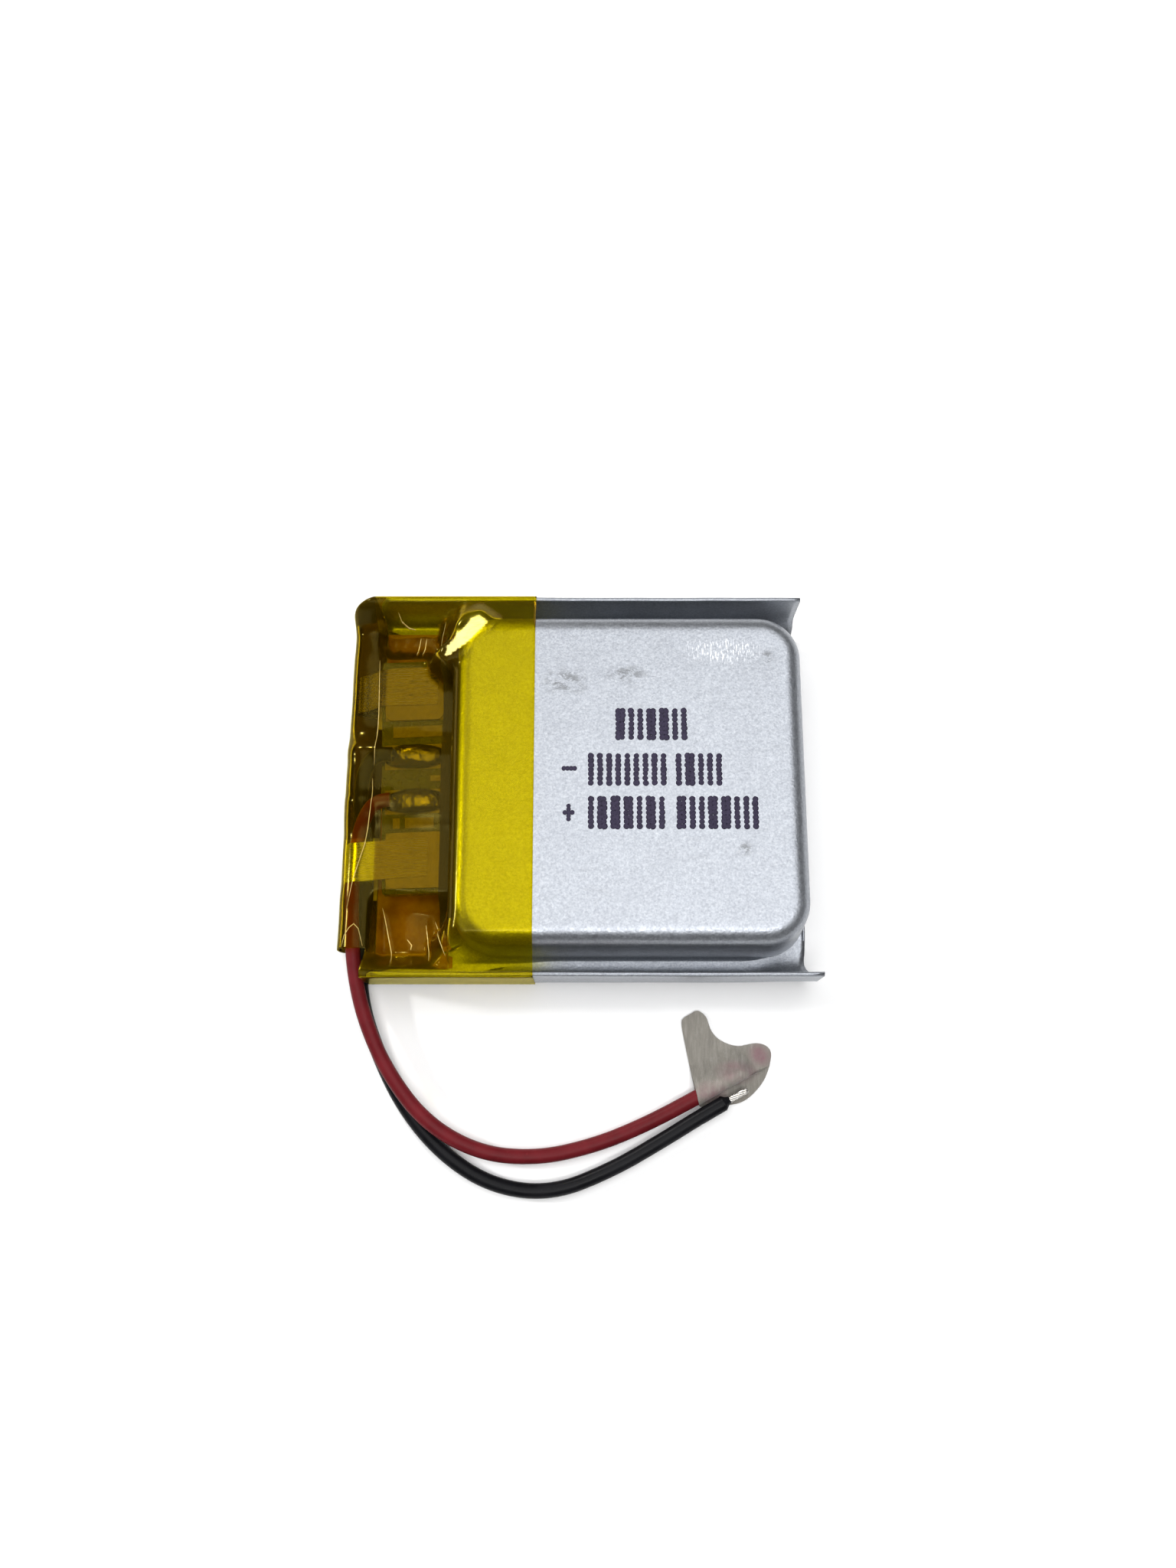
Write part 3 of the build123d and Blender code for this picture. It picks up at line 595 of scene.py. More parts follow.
FLAG_OUTLINE = [
    (5.42, -12.05), (5.55, -11.82), (5.95, -11.62), (6.2, -11.45), (6.45, -11.5), (6.75, -11.78),
    (6.86, -12.15), (6.98, -12.5), (7.25, -12.85), (7.65, -13.1), (8.1, -13.25), (8.45, -13.28),
    (8.8, -13.2), (9.2, -13.12), (9.6, -13.15), (9.92, -13.32), (10.07, -13.62), (10.0, -14.05),
    (9.88, -14.5), (9.65, -15.0), (9.3, -15.45), (8.9, -15.83), (8.5, -16.08), (8.1, -16.2),
    (7.4, -16.28), (6.75, -16.33), (6.24, -16.35), (6.1, -15.6), (5.85, -14.4), (5.6, -13.1),
]


def smooth_loop(points, rounds):
    """Chaikin's corner cutting on a closed outline."""
    for _ in range(rounds):
        cut = []
        for (ax, ay), (bx, by) in zip(points, points[1:] + points[:1]):
            cut.append((ax * 0.75 + bx * 0.25, ay * 0.75 + by * 0.25))
            cut.append((ax * 0.25 + bx * 0.75, ay * 0.25 + by * 0.75))
        points = cut
    return points


# One ply's thickness, the upper ply's height where it lies flat, and where it starts down from the lead
FLAG_PLY, FLAG_REST, FLAG_FALL = 0.05, 0.06, 0.12
# Steps of a ply's inner points: along the lead, away from it, and over it, where the ply is round
STEP_ALONG, STEP_AWAY, STEP_OVER = 0.1, 0.11, 0.05

red_tip = red_line[-1]
red_run = (red_line[-1] - red_line[-2]).normalized()
red_side = Vector((-red_run.y, red_run.x, 0))


def inside(point, outline):
    """Whether a point lies within a closed outline."""
    x, y = point
    hit = False
    for (ax, ay), (bx, by) in zip(outline, outline[1:] + outline[:1]):
        if (ay > y) != (by > y) and x < (bx - ax) * (y - ay) / (by - ay) + ax:
            hit = not hit
    return hit


def ply(outline, height):
    """One ply of the flag: points on and inside the outline, with a top and a bottom face."""
    rim = [Vector(p) for p in outline]
    inner = []
    for i in range(-70, 75):
        for j in range(-45, 60):
            u = i * STEP_ALONG
            v = j * STEP_AWAY if j > 0 else j * STEP_OVER
            flat = red_tip + red_run * u + red_side * v
            spot = (flat.x, flat.y)
            if inside(spot, outline):
                inner.append(Vector(spot))
    everything = rim + inner
    edges = [(k, (k + 1) % len(rim)) for k in range(len(rim))]
    places, _, triangles, *_ = geometry.delaunay_2d_cdt(everything, edges, [list(range(len(rim)))], 1, 1e-5)
    count = len(places)
    points = [(p.x, p.y, height(p.x, p.y) + FLAG_PLY) for p in places]
    points += [(p.x, p.y, height(p.x, p.y)) for p in places]
    faces = [list(t) for t in triangles] + [[k + count for k in reversed(t)] for t in triangles]
    sides = dict.fromkeys((a, b) for t in triangles for a, b in zip(t, [*t[1:], t[0]]))
    faces += [[b, a, a + count, b + count] for a, b in sides if (b, a) not in sides]
    return points, faces


def flag_level(x, y):
    """Height of the upper ply's underside: over the lead, down its far side and flat."""
    away = Vector((x, y, 0)) - red_tip
    u, v = away.dot(red_run), away.dot(red_side)
    radius = LEAD_RADIUS + 0.012
    axis = red_tip.z
    fade = 1 - ease(0.75, 1.55, u)
    over = axis + (math.sqrt(max(radius * radius - v * v, 0)) if abs(v) < radius else 0)
    slope = mix(axis + radius * 0.93, FLAG_REST, min(max((v - FLAG_FALL) / 1.35, 0), 1))
    level = over if v <= FLAG_FALL else max(over, slope) if v < radius else slope
    level = FLAG_REST + max(level - FLAG_REST, 0) * fade
    return level + 0.02 * (1 + wobble(x, y, 3.0, 1.5)) * ease(1.2, 3.0, v)


outer = smooth_loop(FLAG_OUTLINE, 2)
lower_points, lower_faces = ply(outer, lambda x, y: 0.004)


def across(p):
    """Distance of a point to the left of the red lead's tip."""
    return (Vector((p[0], p[1], 0)) - Vector((red_tip.x, red_tip.y, 0))).dot(red_side)


upper_rim = []
limit = -(LEAD_RADIUS + 0.004)
for a, b in zip(outer, outer[1:] + outer[:1]):
    va, vb = across(a), across(b)
    if va >= limit:
        upper_rim.append((a[0], a[1]))
    if (va - limit) * (vb - limit) < 0:
        t = (limit - va) / (vb - va)
        upper_rim.append((mix(a[0], b[0], t), mix(a[1], b[1], t)))
upper_points, upper_faces = ply(upper_rim, flag_level)
shift = len(lower_points)
flag = piece(
    "lead_tip_flag",
    lower_points + upper_points,
    lower_faces + [[k + shift for k in face] for face in upper_faces],
    FLAG,
)
sharpen(flag, 50)
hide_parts("lead_tip_tape")

# ------------------------------------------------------------------ pouch

FILM = 0.12
BACK_Z, SEAM_Z, TERRACE_Z, CUP_Z, CREST_Z = 0.04, 0.16, 0.28, 5.04, 3.84
FOLD_X, TERRACE_X, SEAL_Y = 12.03, -10.6, 10.1
NEAR_EAR_X, FAR_EAR_X = 12.35, 11.95
# The cup's plan at its foot and its face: lowest and highest X, half width and corner radius
FOOT = (-6.4, 12.0, 8.75, 2.25)
FACE = (-6.32, 11.72, 8.67, 2.25)
EDGE = 0.95
EDGE_TURN = 88
FOOT_ROUND = 0.28
CORNER_STEPS, LONG_STEPS, SHORT_STEPS = 16, 44, 36
# The face's rings, as shares of the way out from its middle, closer towards its edge
FACE_MIDDLE = 2.7
FACE_SHARES = (0.04, 0.12, 0.2, 0.28, 0.36, 0.44, 0.52, 0.6, 0.67, 0.74, 0.8, 0.85, 0.89, 0.92, 0.95, 0.975, 1.0)


def cup_outline(shape, inset):
    """Points round the cup's plan outline from the middle of its folded end, with their sides."""
    x0, x1, half, round_by = shape
    x0, x1, half = x0 + inset, x1 - inset, half - inset
    r = max(round_by - inset, 0.35)
    out = []

    def straight(ax, ay, bx, by, steps, side):
        for k in range(steps):
            t = k / steps
            out.append((mix(ax, bx, t), mix(ay, by, t), side))

    def arc(cx, cy, start, side_a, side_b):
        for k in range(CORNER_STEPS):
            angle = math.radians(start + 90 * k / CORNER_STEPS)
            side = side_a if k < CORNER_STEPS / 2 else side_b
            out.append((cx + r * math.cos(angle), cy + r * math.sin(angle), side))

    straight(x1, -half + r, x1, half - r, SHORT_STEPS, "fold")
    arc(x1 - r, half - r, 0, "far", "far")
    straight(x1 - r, half, x0 + r, half, LONG_STEPS, "far")
    arc(x0 + r, half - r, 90, "far", "terrace")
    straight(x0, half - r, x0, -half + r, SHORT_STEPS, "terrace")
    arc(x0 + r, -half + r, 180, "terrace", "near")
    straight(x0 + r, -half, x1 - r, -half, LONG_STEPS, "near")
    arc(x1 - r, -half + r, 270, "near", "near")
    return out


def face_sag(x, y):
    """Slight waves and dents in the cup's pressed face."""
    wave = 0.018 * wobble(x, y, 7.0, 5.0) + 0.008 * wobble(x, y, 1.0, 1.7)
    far_dent = -0.035 * math.exp(-((x - 9.6) ** 2) / 1.6 - (y - 6.6) ** 2 / 0.5)
    rubbed_area = math.exp(-((x - 7.8) ** 2) / 8 - (y - 6.7) ** 2 / 0.6)
    streaks = 0.012 * wobble(x * 0.6, y * 2.2, 2.0, 0.5) * rubbed_area
    groove = -0.02 * math.exp(-((x - 10.5) ** 2) / 0.02) * ease(-2.0, 4.0, y) * ease(7.3, 6.0, y)
    middle = 0.02 * (1 - ((x - 2.7) / 9) ** 2) * (1 - (y / 8.7) ** 2)
    return wave + far_dent + streaks + groove + middle


# Along the sheet's end, out from the fold's flat and up the seal: where the cup draws the end in, by how
# much and over what length, and where the end runs out to an ear
END_FROM_Y = 8.4
DRAWN_BY, DRAWN_AT, DRAWN_WIDTH = 0.14, 1.0, 0.7
EAR_FROM, EAR_FULL = 1.3, 2.8


def side_bend(x):
    """Radius of the side seals' bend, which opens into a web towards the fold."""
    along_side = mix(0.6, 0.95, ease(-6.0, -3.0, x))
    return mix(along_side, 1.5, ease(8.6, 11.6, x))


def end_shift(x, y, z):
    """How far the sheet shifts in X: drawn in by the cup, out to the ears, and in at the terrace."""
    run = max(abs(y) - END_FROM_Y, 0) + z
    ear = (NEAR_EAR_X if y < 0 else FAR_EAR_X) - FOLD_X
    drawn = -DRAWN_BY * math.exp(-(((run - DRAWN_AT) / DRAWN_WIDTH) ** 2))
    terrace_lean = 0.4 * ease(2.6, CREST_Z, z) * ease(TERRACE_X + 2.5, TERRACE_X, x)
    return (drawn + ear * ease(EAR_FROM, EAR_FULL, run)) * ease(9.8, 12.0, x) + terrace_lean


def cup_rings():
    """Rings of points from the middle of the cup's face, over its edge and down its walls."""
    rings = []
    loop = cup_outline(FACE, EDGE)
    for share in FACE_SHARES:
        flat = [(mix(FACE_MIDDLE, x, share), y * share) for x, y, _ in loop]
        rings.append([(x, y, CUP_Z + face_sag(x, y)) for x, y in flat])
    for k in range(1, 11):
        angle = math.radians(EDGE_TURN * k / 10)
        loop = cup_outline(FACE, EDGE * (1 - math.sin(angle)))
        z = CUP_Z - EDGE * (1 - math.cos(angle))
        rings.append([(x, y, z + face_sag(x, y) * (1 - k / 10)) for x, y, _ in loop])
    wall_top = CUP_Z - EDGE * (1 - math.cos(math.radians(EDGE_TURN)))
    face_loop = cup_outline(FACE, 0)
    for k in range(1, 7):
        t = k / 6
        ring = []
        for (fx, fy, side), (gx, gy, _) in zip(foot_loop, face_loop):
            low = SEAM_Z + 0.3 if side == "fold" else TERRACE_Z + FOOT_ROUND
            x, y = mix(gx, fx, t), mix(gy, fy, t)
            pull = 0.05 * math.sin(math.pi * t) * wobble(x, y, 2.0, 3.0)
            ring.append((x + pull * (side in ("fold", "terrace")), y, mix(wall_top, low, t)))
        rings.append(ring)
    return rings


def margin_line(fx, fy, sign, outer_x):
    """From the cup's foot out over a small concave foot, the flat, the side bend, the seal and its crest."""
    around = side_bend(outer_x)
    flat_y, inner = SEAL_Y - around, around - 2 * FILM
    line = []
    for k in range(1, 7):
        share = k / 6
        z = TERRACE_Z + FOOT_ROUND * (1 - ease(0.0, 0.45, share)) ** 2
        line.append([mix(fx, outer_x, share), mix(fy, sign * flat_y, share), z])
    profile = [(flat_y + inner * math.sin(a), TERRACE_Z + inner * (1 - math.cos(a))) for a in quarter(7)]
    profile += [(SEAL_Y - 2 * FILM, mix(TERRACE_Z + inner, CREST_Z - FILM, k / 8)) for k in range(1, 9)]
    profile += [(SEAL_Y - FILM - FILM * math.cos(a), CREST_Z - FILM + FILM * math.sin(a)) for a in quarter(4)]
    line += [[outer_x, sign * y, z] for y, z in profile]
    for point in line:
        rise = ease(TERRACE_Z, 2.4, point[2])
        point[0] += end_shift(*point)
        point[1] += sign * 0.03 * wobble(point[0], point[2], sign * 4.0, 2.5) * rise
    return line


def join_to_foot(first, last, lines):
    """Adds a margin's lines of points to the cup, one for each of its foot's points from first to last."""
    members = [k % columns for k in range(first, last + 1)]
    start, count = len(points), len(members)
    points.extend(tuple(line[k]) for k in range(len(lines[0])) for line in lines)
    faces.extend(quads(len(lines[0]), count, start, flip=True))
    for m in range(count - 1):
        faces.append([last_ring + members[m], start + m, start + m + 1, last_ring + members[m + 1]])


foot_loop = cup_outline(FOOT, 0)
columns = len(foot_loop)
rings = cup_rings()
last_ring = (len(rings) - 1) * columns
points = [p for ring in rings for p in ring]
faces = quads(len(rings), columns, close_columns=True, flip=True)
faces.append(list(range(columns)))

# From the foot, the sheet runs out to each side seal and to the terrace.
far_end = SHORT_STEPS + LONG_STEPS + CORNER_STEPS * 3 // 2
near_start = far_end + SHORT_STEPS + CORNER_STEPS
for sign, first, last in ((1, SHORT_STEPS, far_end), (-1, near_start, columns)):
    lines = []
    for k in range(first, last + 1):
        fx, fy, _ = foot_loop[k % columns]
        t = (k - first) / (last - first)
        lines.append(margin_line(fx, fy, sign, mix(TERRACE_X, FOLD_X, t if sign < 0 else 1 - t)))
    join_to_foot(first, last, lines)
flat_y = SEAL_Y - 2 * FILM - 0.3
lines = []
for k in range(far_end, near_start + 1):
    fx, fy, _ = foot_loop[k]
    oy = mix(flat_y, -flat_y, (k - far_end) / (near_start - far_end))
    line = []
    for share in (m / 6 for m in range(1, 7)):
        z = TERRACE_Z + FOOT_ROUND * (1 - ease(0.0, 0.3, share)) ** 2
        line.append((mix(fx, TERRACE_X, share), mix(fy, oy, share), z))
    lines.append(line)
join_to_foot(far_end, near_start, lines)

cup = piece("pouch_cup_film", points, faces, LAMINATE)
weld(cup)
thicken(cup, FILM)
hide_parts("pouch_cup")

# ---- back half of the sheet: flat back, side seals and the turn up at the fold

FOLD_TURN, FOLD_RISE = 0.3, 0.34


def back_section(x):
    """The back's section from the near crest to the far one, through both bends and the flat."""
    around = side_bend(x)
    side = [(SEAL_Y - around + around * math.sin(a), BACK_Z + around * (1 - math.cos(a))) for a in quarter(7)]
    side += [(SEAL_Y, mix(BACK_Z + around, CREST_Z - FILM, k / 10)) for k in range(1, 11)]
    side += [(SEAL_Y - FILM + FILM * math.cos(a), CREST_Z - FILM + FILM * math.sin(a)) for a in quarter(4)]
    flat = [(mix(-SEAL_Y + around, SEAL_Y - around, k / 60), BACK_Z) for k in range(61)]
    return [(-y, z) for y, z in reversed(side)] + flat + side


def side_share(y):
    """0 along the fold and 1 past its ends."""
    return ease(7.4, 8.6, abs(y))


section = back_section(0)
rows, per_row = 46, len(section)
points = []
for i in range(rows):
    x = mix(TERRACE_X, FOLD_X - FOLD_TURN, i / (rows - 1))
    for y, z in back_section(x + FOLD_TURN):
        sign = 1 if y > 0 else -1
        px = x + FOLD_TURN * ease(9.8, 12.0, x) * side_share(y)
        px += end_shift(px, y, z)
        wave = 0.03 * wobble(px, z, sign * 4.0, 2.5) * ease(TERRACE_Z, 2.4, z) * sign
        points.append((px, y + wave, z))
faces = quads(rows, per_row)
# The fold's quarter turn, between the corners
wide = [j for j, (y, z) in enumerate(section) if z <= BACK_Z + 1e-6]
start = len(points)
last_row = (rows - 1) * per_row
turn = quarter(6)
for angle in turn:
    for j in wide:
        x, y, z = points[last_row + j]
        share = 1 - side_share(y)
        out, up = FOLD_TURN * math.sin(angle) * share, FOLD_RISE * (1 - math.cos(angle)) * share
        points.append((x + out, y, z + up))
for m in range(len(wide) - 1):
    faces.append([last_row + wide[m], last_row + wide[m + 1], start + m + 1, start + m])
faces += quads(len(turn), len(wide), start)
back = piece("pouch_back_film", points, faces, LAMINATE)
weld(back)
thicken(back, FILM * 0.9)
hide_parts("pouch_back")

# ------------------------------------------------------------------ printed marks


DOT_PITCH = 0.235
DOT_RADIUS = 0.16
STROKE_GAP, BAR_GAP = 0.2, 0.46
SIGN_X, MINUS_Y, PLUS_Y = -0.38, 0.25, -2.05
# Each row of bars: its Y, and the lowest and highest X of each group in it
BAR_ROWS = ((2.6, ((2.15, 5.75),)), (0.2, ((0.75, 4.5), (5.2, 7.6))), (-2.05, ((0.75, 4.5), (5.2, 9.3))))

points, faces = [], []


def ink_dot(x, y, radius, seed):
    """A low ragged dot of ink on the cup's face."""
    start = len(points)
    around = full_turn(10)
    z = CUP_Z + face_sag(x, y)
    for level, scale in ((0.002, 1.0), (0.012, 0.7)):
        for angle in around:
            ragged = radius * scale * (1 + 0.12 * wobble(math.cos(angle) * 2, math.sin(angle) * 2, seed, 1.0))
            points.append((x + ragged * math.cos(angle), y + ragged * math.sin(angle), z + level))
    count = len(around)
    faces.extend(quads(2, count, start, close_columns=True))
    faces.append([start + count + m for m in range(count)])
    faces.append([start + m for m in reversed(range(count))])


def ink_bar(x, y, dots=7):
    """An upright row of overlapping ink dots."""
    for k in range(dots):
        jitter_x = 0.03 * wobble(x * 9, k * 3.1, y, 1.0)
        jitter_y = 0.03 * wobble(x * 5, k * 2.3, y + 9, 1.0)
        radius = DOT_RADIUS * (1 + 0.2 * wobble(x * 4, k * 1.7, y + 3, 1.0))
        ink_dot(x + jitter_x, y + (k - (dots - 1) / 2) * DOT_PITCH + jitter_y, radius, x * 7 + k)


# Plain bars of one or two strokes fill each row.
for row_y, groups in BAR_ROWS:
    for low, high in groups:
        x = low
        while x <= high:
            ink_bar(x, row_y)
            if wobble(x * 2.1, row_y, 5.0, 0.7) > 0.05 and x + STROKE_GAP <= high:
                x += STROKE_GAP
                ink_bar(x, row_y)
            x += BAR_GAP
for k in range(4):
    ink_dot(-0.62 + k * 0.18, MINUS_Y, 0.13, k)
for k in range(5):
    ink_dot(SIGN_X, PLUS_Y + (k - 2) * 0.17, 0.12, k + 20)
for k in (-1, 1):
    ink_dot(SIGN_X + k * 0.18, PLUS_Y, 0.13, k + 30)
piece("printed_marks", points, faces, INK)

# ------------------------------------------------------------------ wrap tape

TAPE_T = 0.06
EDGE_X, MOUTH_Y = -2.15, -8.5
# The tape is a girth from its edge to WALL_X, and a pocket or a wall past it.
WALL_X = -10.78
CREST = CREST_Z + TAPE_T
# Where the girth turns down over a seal's crest, and where it turns in to the back
OVER_Y, OVER_ROUND, OVER_DROP = 9.86, 0.3, 0.12
UNDER_Y, UNDER_ROUND = 9.5, 0.66
CUP_END_X = -6.45
SHOULDER = 0.9
# The taut facet at the cup's far corner, whose own axes lie at 45 degrees: their offsets, its height and fall
FACET_OUT, FACET_ALONG, FACET_Z, FACET_FALL = 11.4, 1.3, 5.39, 0.364
# The tape over a lead's first run: its height over the lead's middle, and how fast it falls away
COVER_RISE, COVER_FALL = 0.52, 0.8
# Half widths over the cup: of its flat, and of the point where the tape leaves its rounding
FLAT_HALF, LEAVES_HALF = 7.72, 8.23


def tape_top(x, y):
    """Height of the tape's outer face over the cup, the board and the pockets at its ends."""
    side = abs(y)
    if side < FLAT_HALF:
        over_cup = CUP_Z + 0.045 + face_sag(x, y) * 0.8
    elif side < LEAVES_HALF:
        over_cup = CUP_Z + 0.045 - EDGE + math.sqrt(EDGE**2 - (side - FLAT_HALF) ** 2)
    else:
        over_cup = mix(4.936, CREST, min((side - LEAVES_HALF) / 1.63, 1))
    # across the board, which is turned a little about its middle
    v = y - 0.7 + (x + 8.55) * 0.038
    board = 2.42 + 0.5 * math.exp(-(((v + 0.45) / 2.3) ** 6)) + 0.05 * wobble(x, y, 9.0, 1.4)
    pocket = 1.25 + 0.25 * math.sin(x * 1.3)
    sunk = ease(6.15, 7.4, abs(v)) * (ease(-10.9, -9.9, x) if x < -9 else 1)
    climb = mix(mix(board, pocket, sunk), CREST, ease(8.5, SEAL_Y - 0.24, side) ** 1.2)
    return over_cup, climb


# Fine raised creases: two ends, width and height
CREASES = [
    ((-10.1, -6.3), (-9.4, -9.4), 0.13, 0.075),
    ((-7.8, -7.0), (-7.45, -9.3), 0.12, 0.075),
    ((-7.35, -6.8), (-6.45, -9.2), 0.14, 0.09),
    ((-8.9, -7.9), (-8.6, -8.5), 0.12, 0.06),
    ((-9.9, 7.4), (-9.2, 9.1), 0.13, 0.075),
    ((-8.4, 6.9), (-8.5, 8.6), 0.10, 0.06),
    ((-8.05, 6.9), (-8.1, 8.5), 0.10, 0.06),
    ((-7.1, 6.3), (-6.75, 8.9), 0.12, 0.08),
    ((-10.35, 6.2), (-10.3, 9.3), 0.13, 0.075),
    ((-10.7, 9.0), (-9.0, 8.3), 0.16, 0.08),
    ((-9.0, 8.3), (-7.6, 9.2), 0.16, 0.08),
    ((-10.45, -6.2), (-10.5, 6.2), 0.12, 0.05),
]


def to_line(x, y, a, b):
    """Distance to the line from a to b in plan, and how far along it, from 0 to 1."""
    run_x, run_y = b[0] - a[0], b[1] - a[1]
    along = ((x - a[0]) * run_x + (y - a[1]) * run_y) / (run_x**2 + run_y**2)
    held = min(max(along, 0), 1)
    return math.hypot(x - a[0] - run_x * held, y - a[1] - run_y * held), held


def crease_lift(x, y):
    """Height that the fine creases add."""
    lift = 0.0
    for a, b, width, height in CREASES:
        away, along = to_line(x, y, a, b)
        lift += height * math.exp(-((away / width) ** 2)) * math.sin(math.pi * mix(0.08, 0.92, along))
    return lift


def lead_cover(x, y):
    """The least height that keeps the tape clear of the leads where they leave the solder."""
    least = 0.0
    for route in (RED_ROUTE, BLACK_ROUTE):
        for a, b in zip(route[:3], route[1:4]):
            away, along = to_line(x, y, a, b)
            least = max(least, mix(a[2], b[2], along) + COVER_RISE - COVER_FALL * away**2)
    return least


def tape_height(x, y):
    """Height of the tape's outer face anywhere on the girth's upper side."""
    over_cup, low = tape_top(x, y)
    corner = ease(6.6, 8.4, abs(y))
    drop = EDGE * (1 - 0.35 * corner)
    t = (CUP_END_X + SHOULDER - x) / SHOULDER
    if t < 0:
        level = over_cup
    elif t < 1:
        # round over the cup's end
        level = max(over_cup - drop * (1 - math.sqrt(max(1 - t * t, 0))), low)
    else:
        # and fall to the board
        fall = ease(0, mix(0.12, 1.5, corner), CUP_END_X - x)
        level = mix(over_cup - drop, low, fall) if over_cup - drop > low else low
    # the tape spans from the cup's far corner to the seal as one taut facet
    out = (y - x - FACET_OUT) / math.sqrt(2)
    along = (x + y - FACET_ALONG) / math.sqrt(2)
    hold = ease(-2.2, -1.4, along) * ease(2.4, 1.7, along) * ease(2.6, 1.8, out) * ease(0.5, 0.9, out)
    if y > 4:
        level = mix(level, min(FACET_Z - FACET_FALL * out, CUP_Z + 0.055), hold)
    return max(level + crease_lift(x, y), lead_cover(x, y))


# The girth's loops, closest where the tape falls from the cup and creases over the board
xs = [EDGE_X - k * (EDGE_X + 5.4) / 22 for k in range(22)]
xs += [-5.4 - k * 0.09 for k in range(14)]
xs += [-6.62 - k * (10.78 - 6.62) / 42 for k in range(43)]
ys = [OVER_Y * math.sin(math.pi / 2 * (k / 60)) for k in range(61)]
ys = sorted({round(y, 4) for y in ys} | {-MOUTH_Y})
ys = [-y for y in reversed(ys[1:])] + ys


def over_seal(angle):
    """Distance out and height where the tape turns down over a seal's crest."""
    return (
        OVER_Y + OVER_ROUND * math.sin(angle),
        CREST - OVER_DROP * (1 - math.cos(angle)) + 0.02 * math.sin(2 * angle),
    )


def girth(x):
    """One loop round the taped cell, from the near crest over the top, down and back under."""
    loop = [(x, y, tape_height(x, y)) for y in ys]
    side_y = SEAL_Y + TAPE_T
    loop += [(x, *over_seal(angle)) for angle in quarter(5)]
    for k in range(1, 9):
        z = mix(CREST - OVER_DROP, UNDER_ROUND, k / 8)
        loop.append((x, side_y + 0.015 * wobble(x, z, 11.0, 1.6), z))
    for a in quarter(6):
        loop.append((x, side_y - UNDER_ROUND * (1 - math.cos(a)), UNDER_ROUND * (1 - math.sin(a))))
    loop += [(x, mix(UNDER_Y, -UNDER_Y, k / 40), 0.0) for k in range(1, 41)]
    for a in quarter(6):
        loop.append((x, -UNDER_Y - UNDER_ROUND * math.sin(a), UNDER_ROUND * (1 - math.cos(a))))
    for k in range(1, 9):
        z = mix(UNDER_ROUND, CREST - OVER_DROP, k / 8)
        loop.append((x, -side_y + 0.015 * wobble(x, z, 12.0, 1.6), z))
    for k in range(1, 5):
        y, z = over_seal(math.radians(90 * (1 - k / 5)))
        loop.append((x, -y, z))
    return loop


loops = [girth(x) for x in xs]
points = [p for loop in loops for p in loop]
faces = quads(len(loops), len(loops[0]), close_columns=True)


def upper(y):
    """The girth's upper line at the seal's end."""
    if y <= OVER_Y:
        return tape_height(WALL_X, y)
    return CREST - OVER_DROP * (1 - math.sqrt(max(1 - ((y - OVER_Y) / OVER_ROUND) ** 2, 0)))


def lower(y):
    """The girth's lower line, up round the side bend."""
    return UNDER_ROUND * (1 - math.sqrt(max(1 - (max(y - UNDER_Y, 0) / UNDER_ROUND) ** 2, 0)))


# Powers that square the pocket's section off: out from the girth, and up and down
POCKET_SIDE, POCKET_TOP = 0.6, 0.72


def pocket_depth(y):
    """How far the pocket reaches past the girth: less towards the far side, and none at its end."""
    depth = mix(1.58, 1.34, min(max((y - MOUTH_Y) / 17.5, 0), 1))
    return depth * math.sqrt(max(1 - (max(y - 9.4, 0) / 0.76) ** 2, 0.0))


# The pocket past the terrace, round the leads and the turned tabs, open at its near end
mouth_start = min(range(len(ys)), key=lambda k: abs(ys[k] - MOUTH_Y))
pocket_ys = [y for y in ys[mouth_start:] if y < 9.85] + [9.86, 9.93, 10.0, 10.06, 10.11, 10.145, 10.16]
PROFILE = 26
start = len(points)
for k in range(PROFILE + 1):
    angle = math.pi * (k / PROFILE)
    for y in pocket_ys:
        top, bottom = upper(y), lower(y)
        depth = pocket_depth(y)
        x = WALL_X - depth * math.sin(angle) ** POCKET_SIDE if 0 < k < PROFILE else WALL_X
        middle, half = (top + bottom) / 2, (top - bottom) / 2
        z = middle + half * math.copysign(abs(math.cos(angle)) ** POCKET_TOP, math.cos(angle))
        wave = 0.035 * wobble(x * 2, y, 21.0, 1.2) * math.sin(angle) * min(depth, 1)
        points.append((min(x + wave, WALL_X), y, max(z, 0.0)))
faces += quads(PROFILE + 1, len(pocket_ys), start)
# A wall closes the end between the mouth and the near side.
wall_ys = [-y for y in sorted([y for y in pocket_ys if y > -MOUTH_Y] + [-MOUTH_Y])]
WALL_ROWS = 10
start = len(points)
for t in (k / WALL_ROWS for k in range(WALL_ROWS + 1)):
    for y in wall_ys:
        top = tape_height(WALL_X, y) if y >= -OVER_Y else upper(-y)
        z = mix(top, lower(-y), t)
        points.append((WALL_X - 0.04 * math.sin(math.pi * t) * (1 + wobble(y, z, 3.0, 0.8)), y, z))
faces += quads(WALL_ROWS + 1, len(wall_ys), start)
tape = piece("wrap_tape_film", points, faces, [TAPE, DEEP_TAPE, DARK_TAPE])
weld(tape, 0.004)
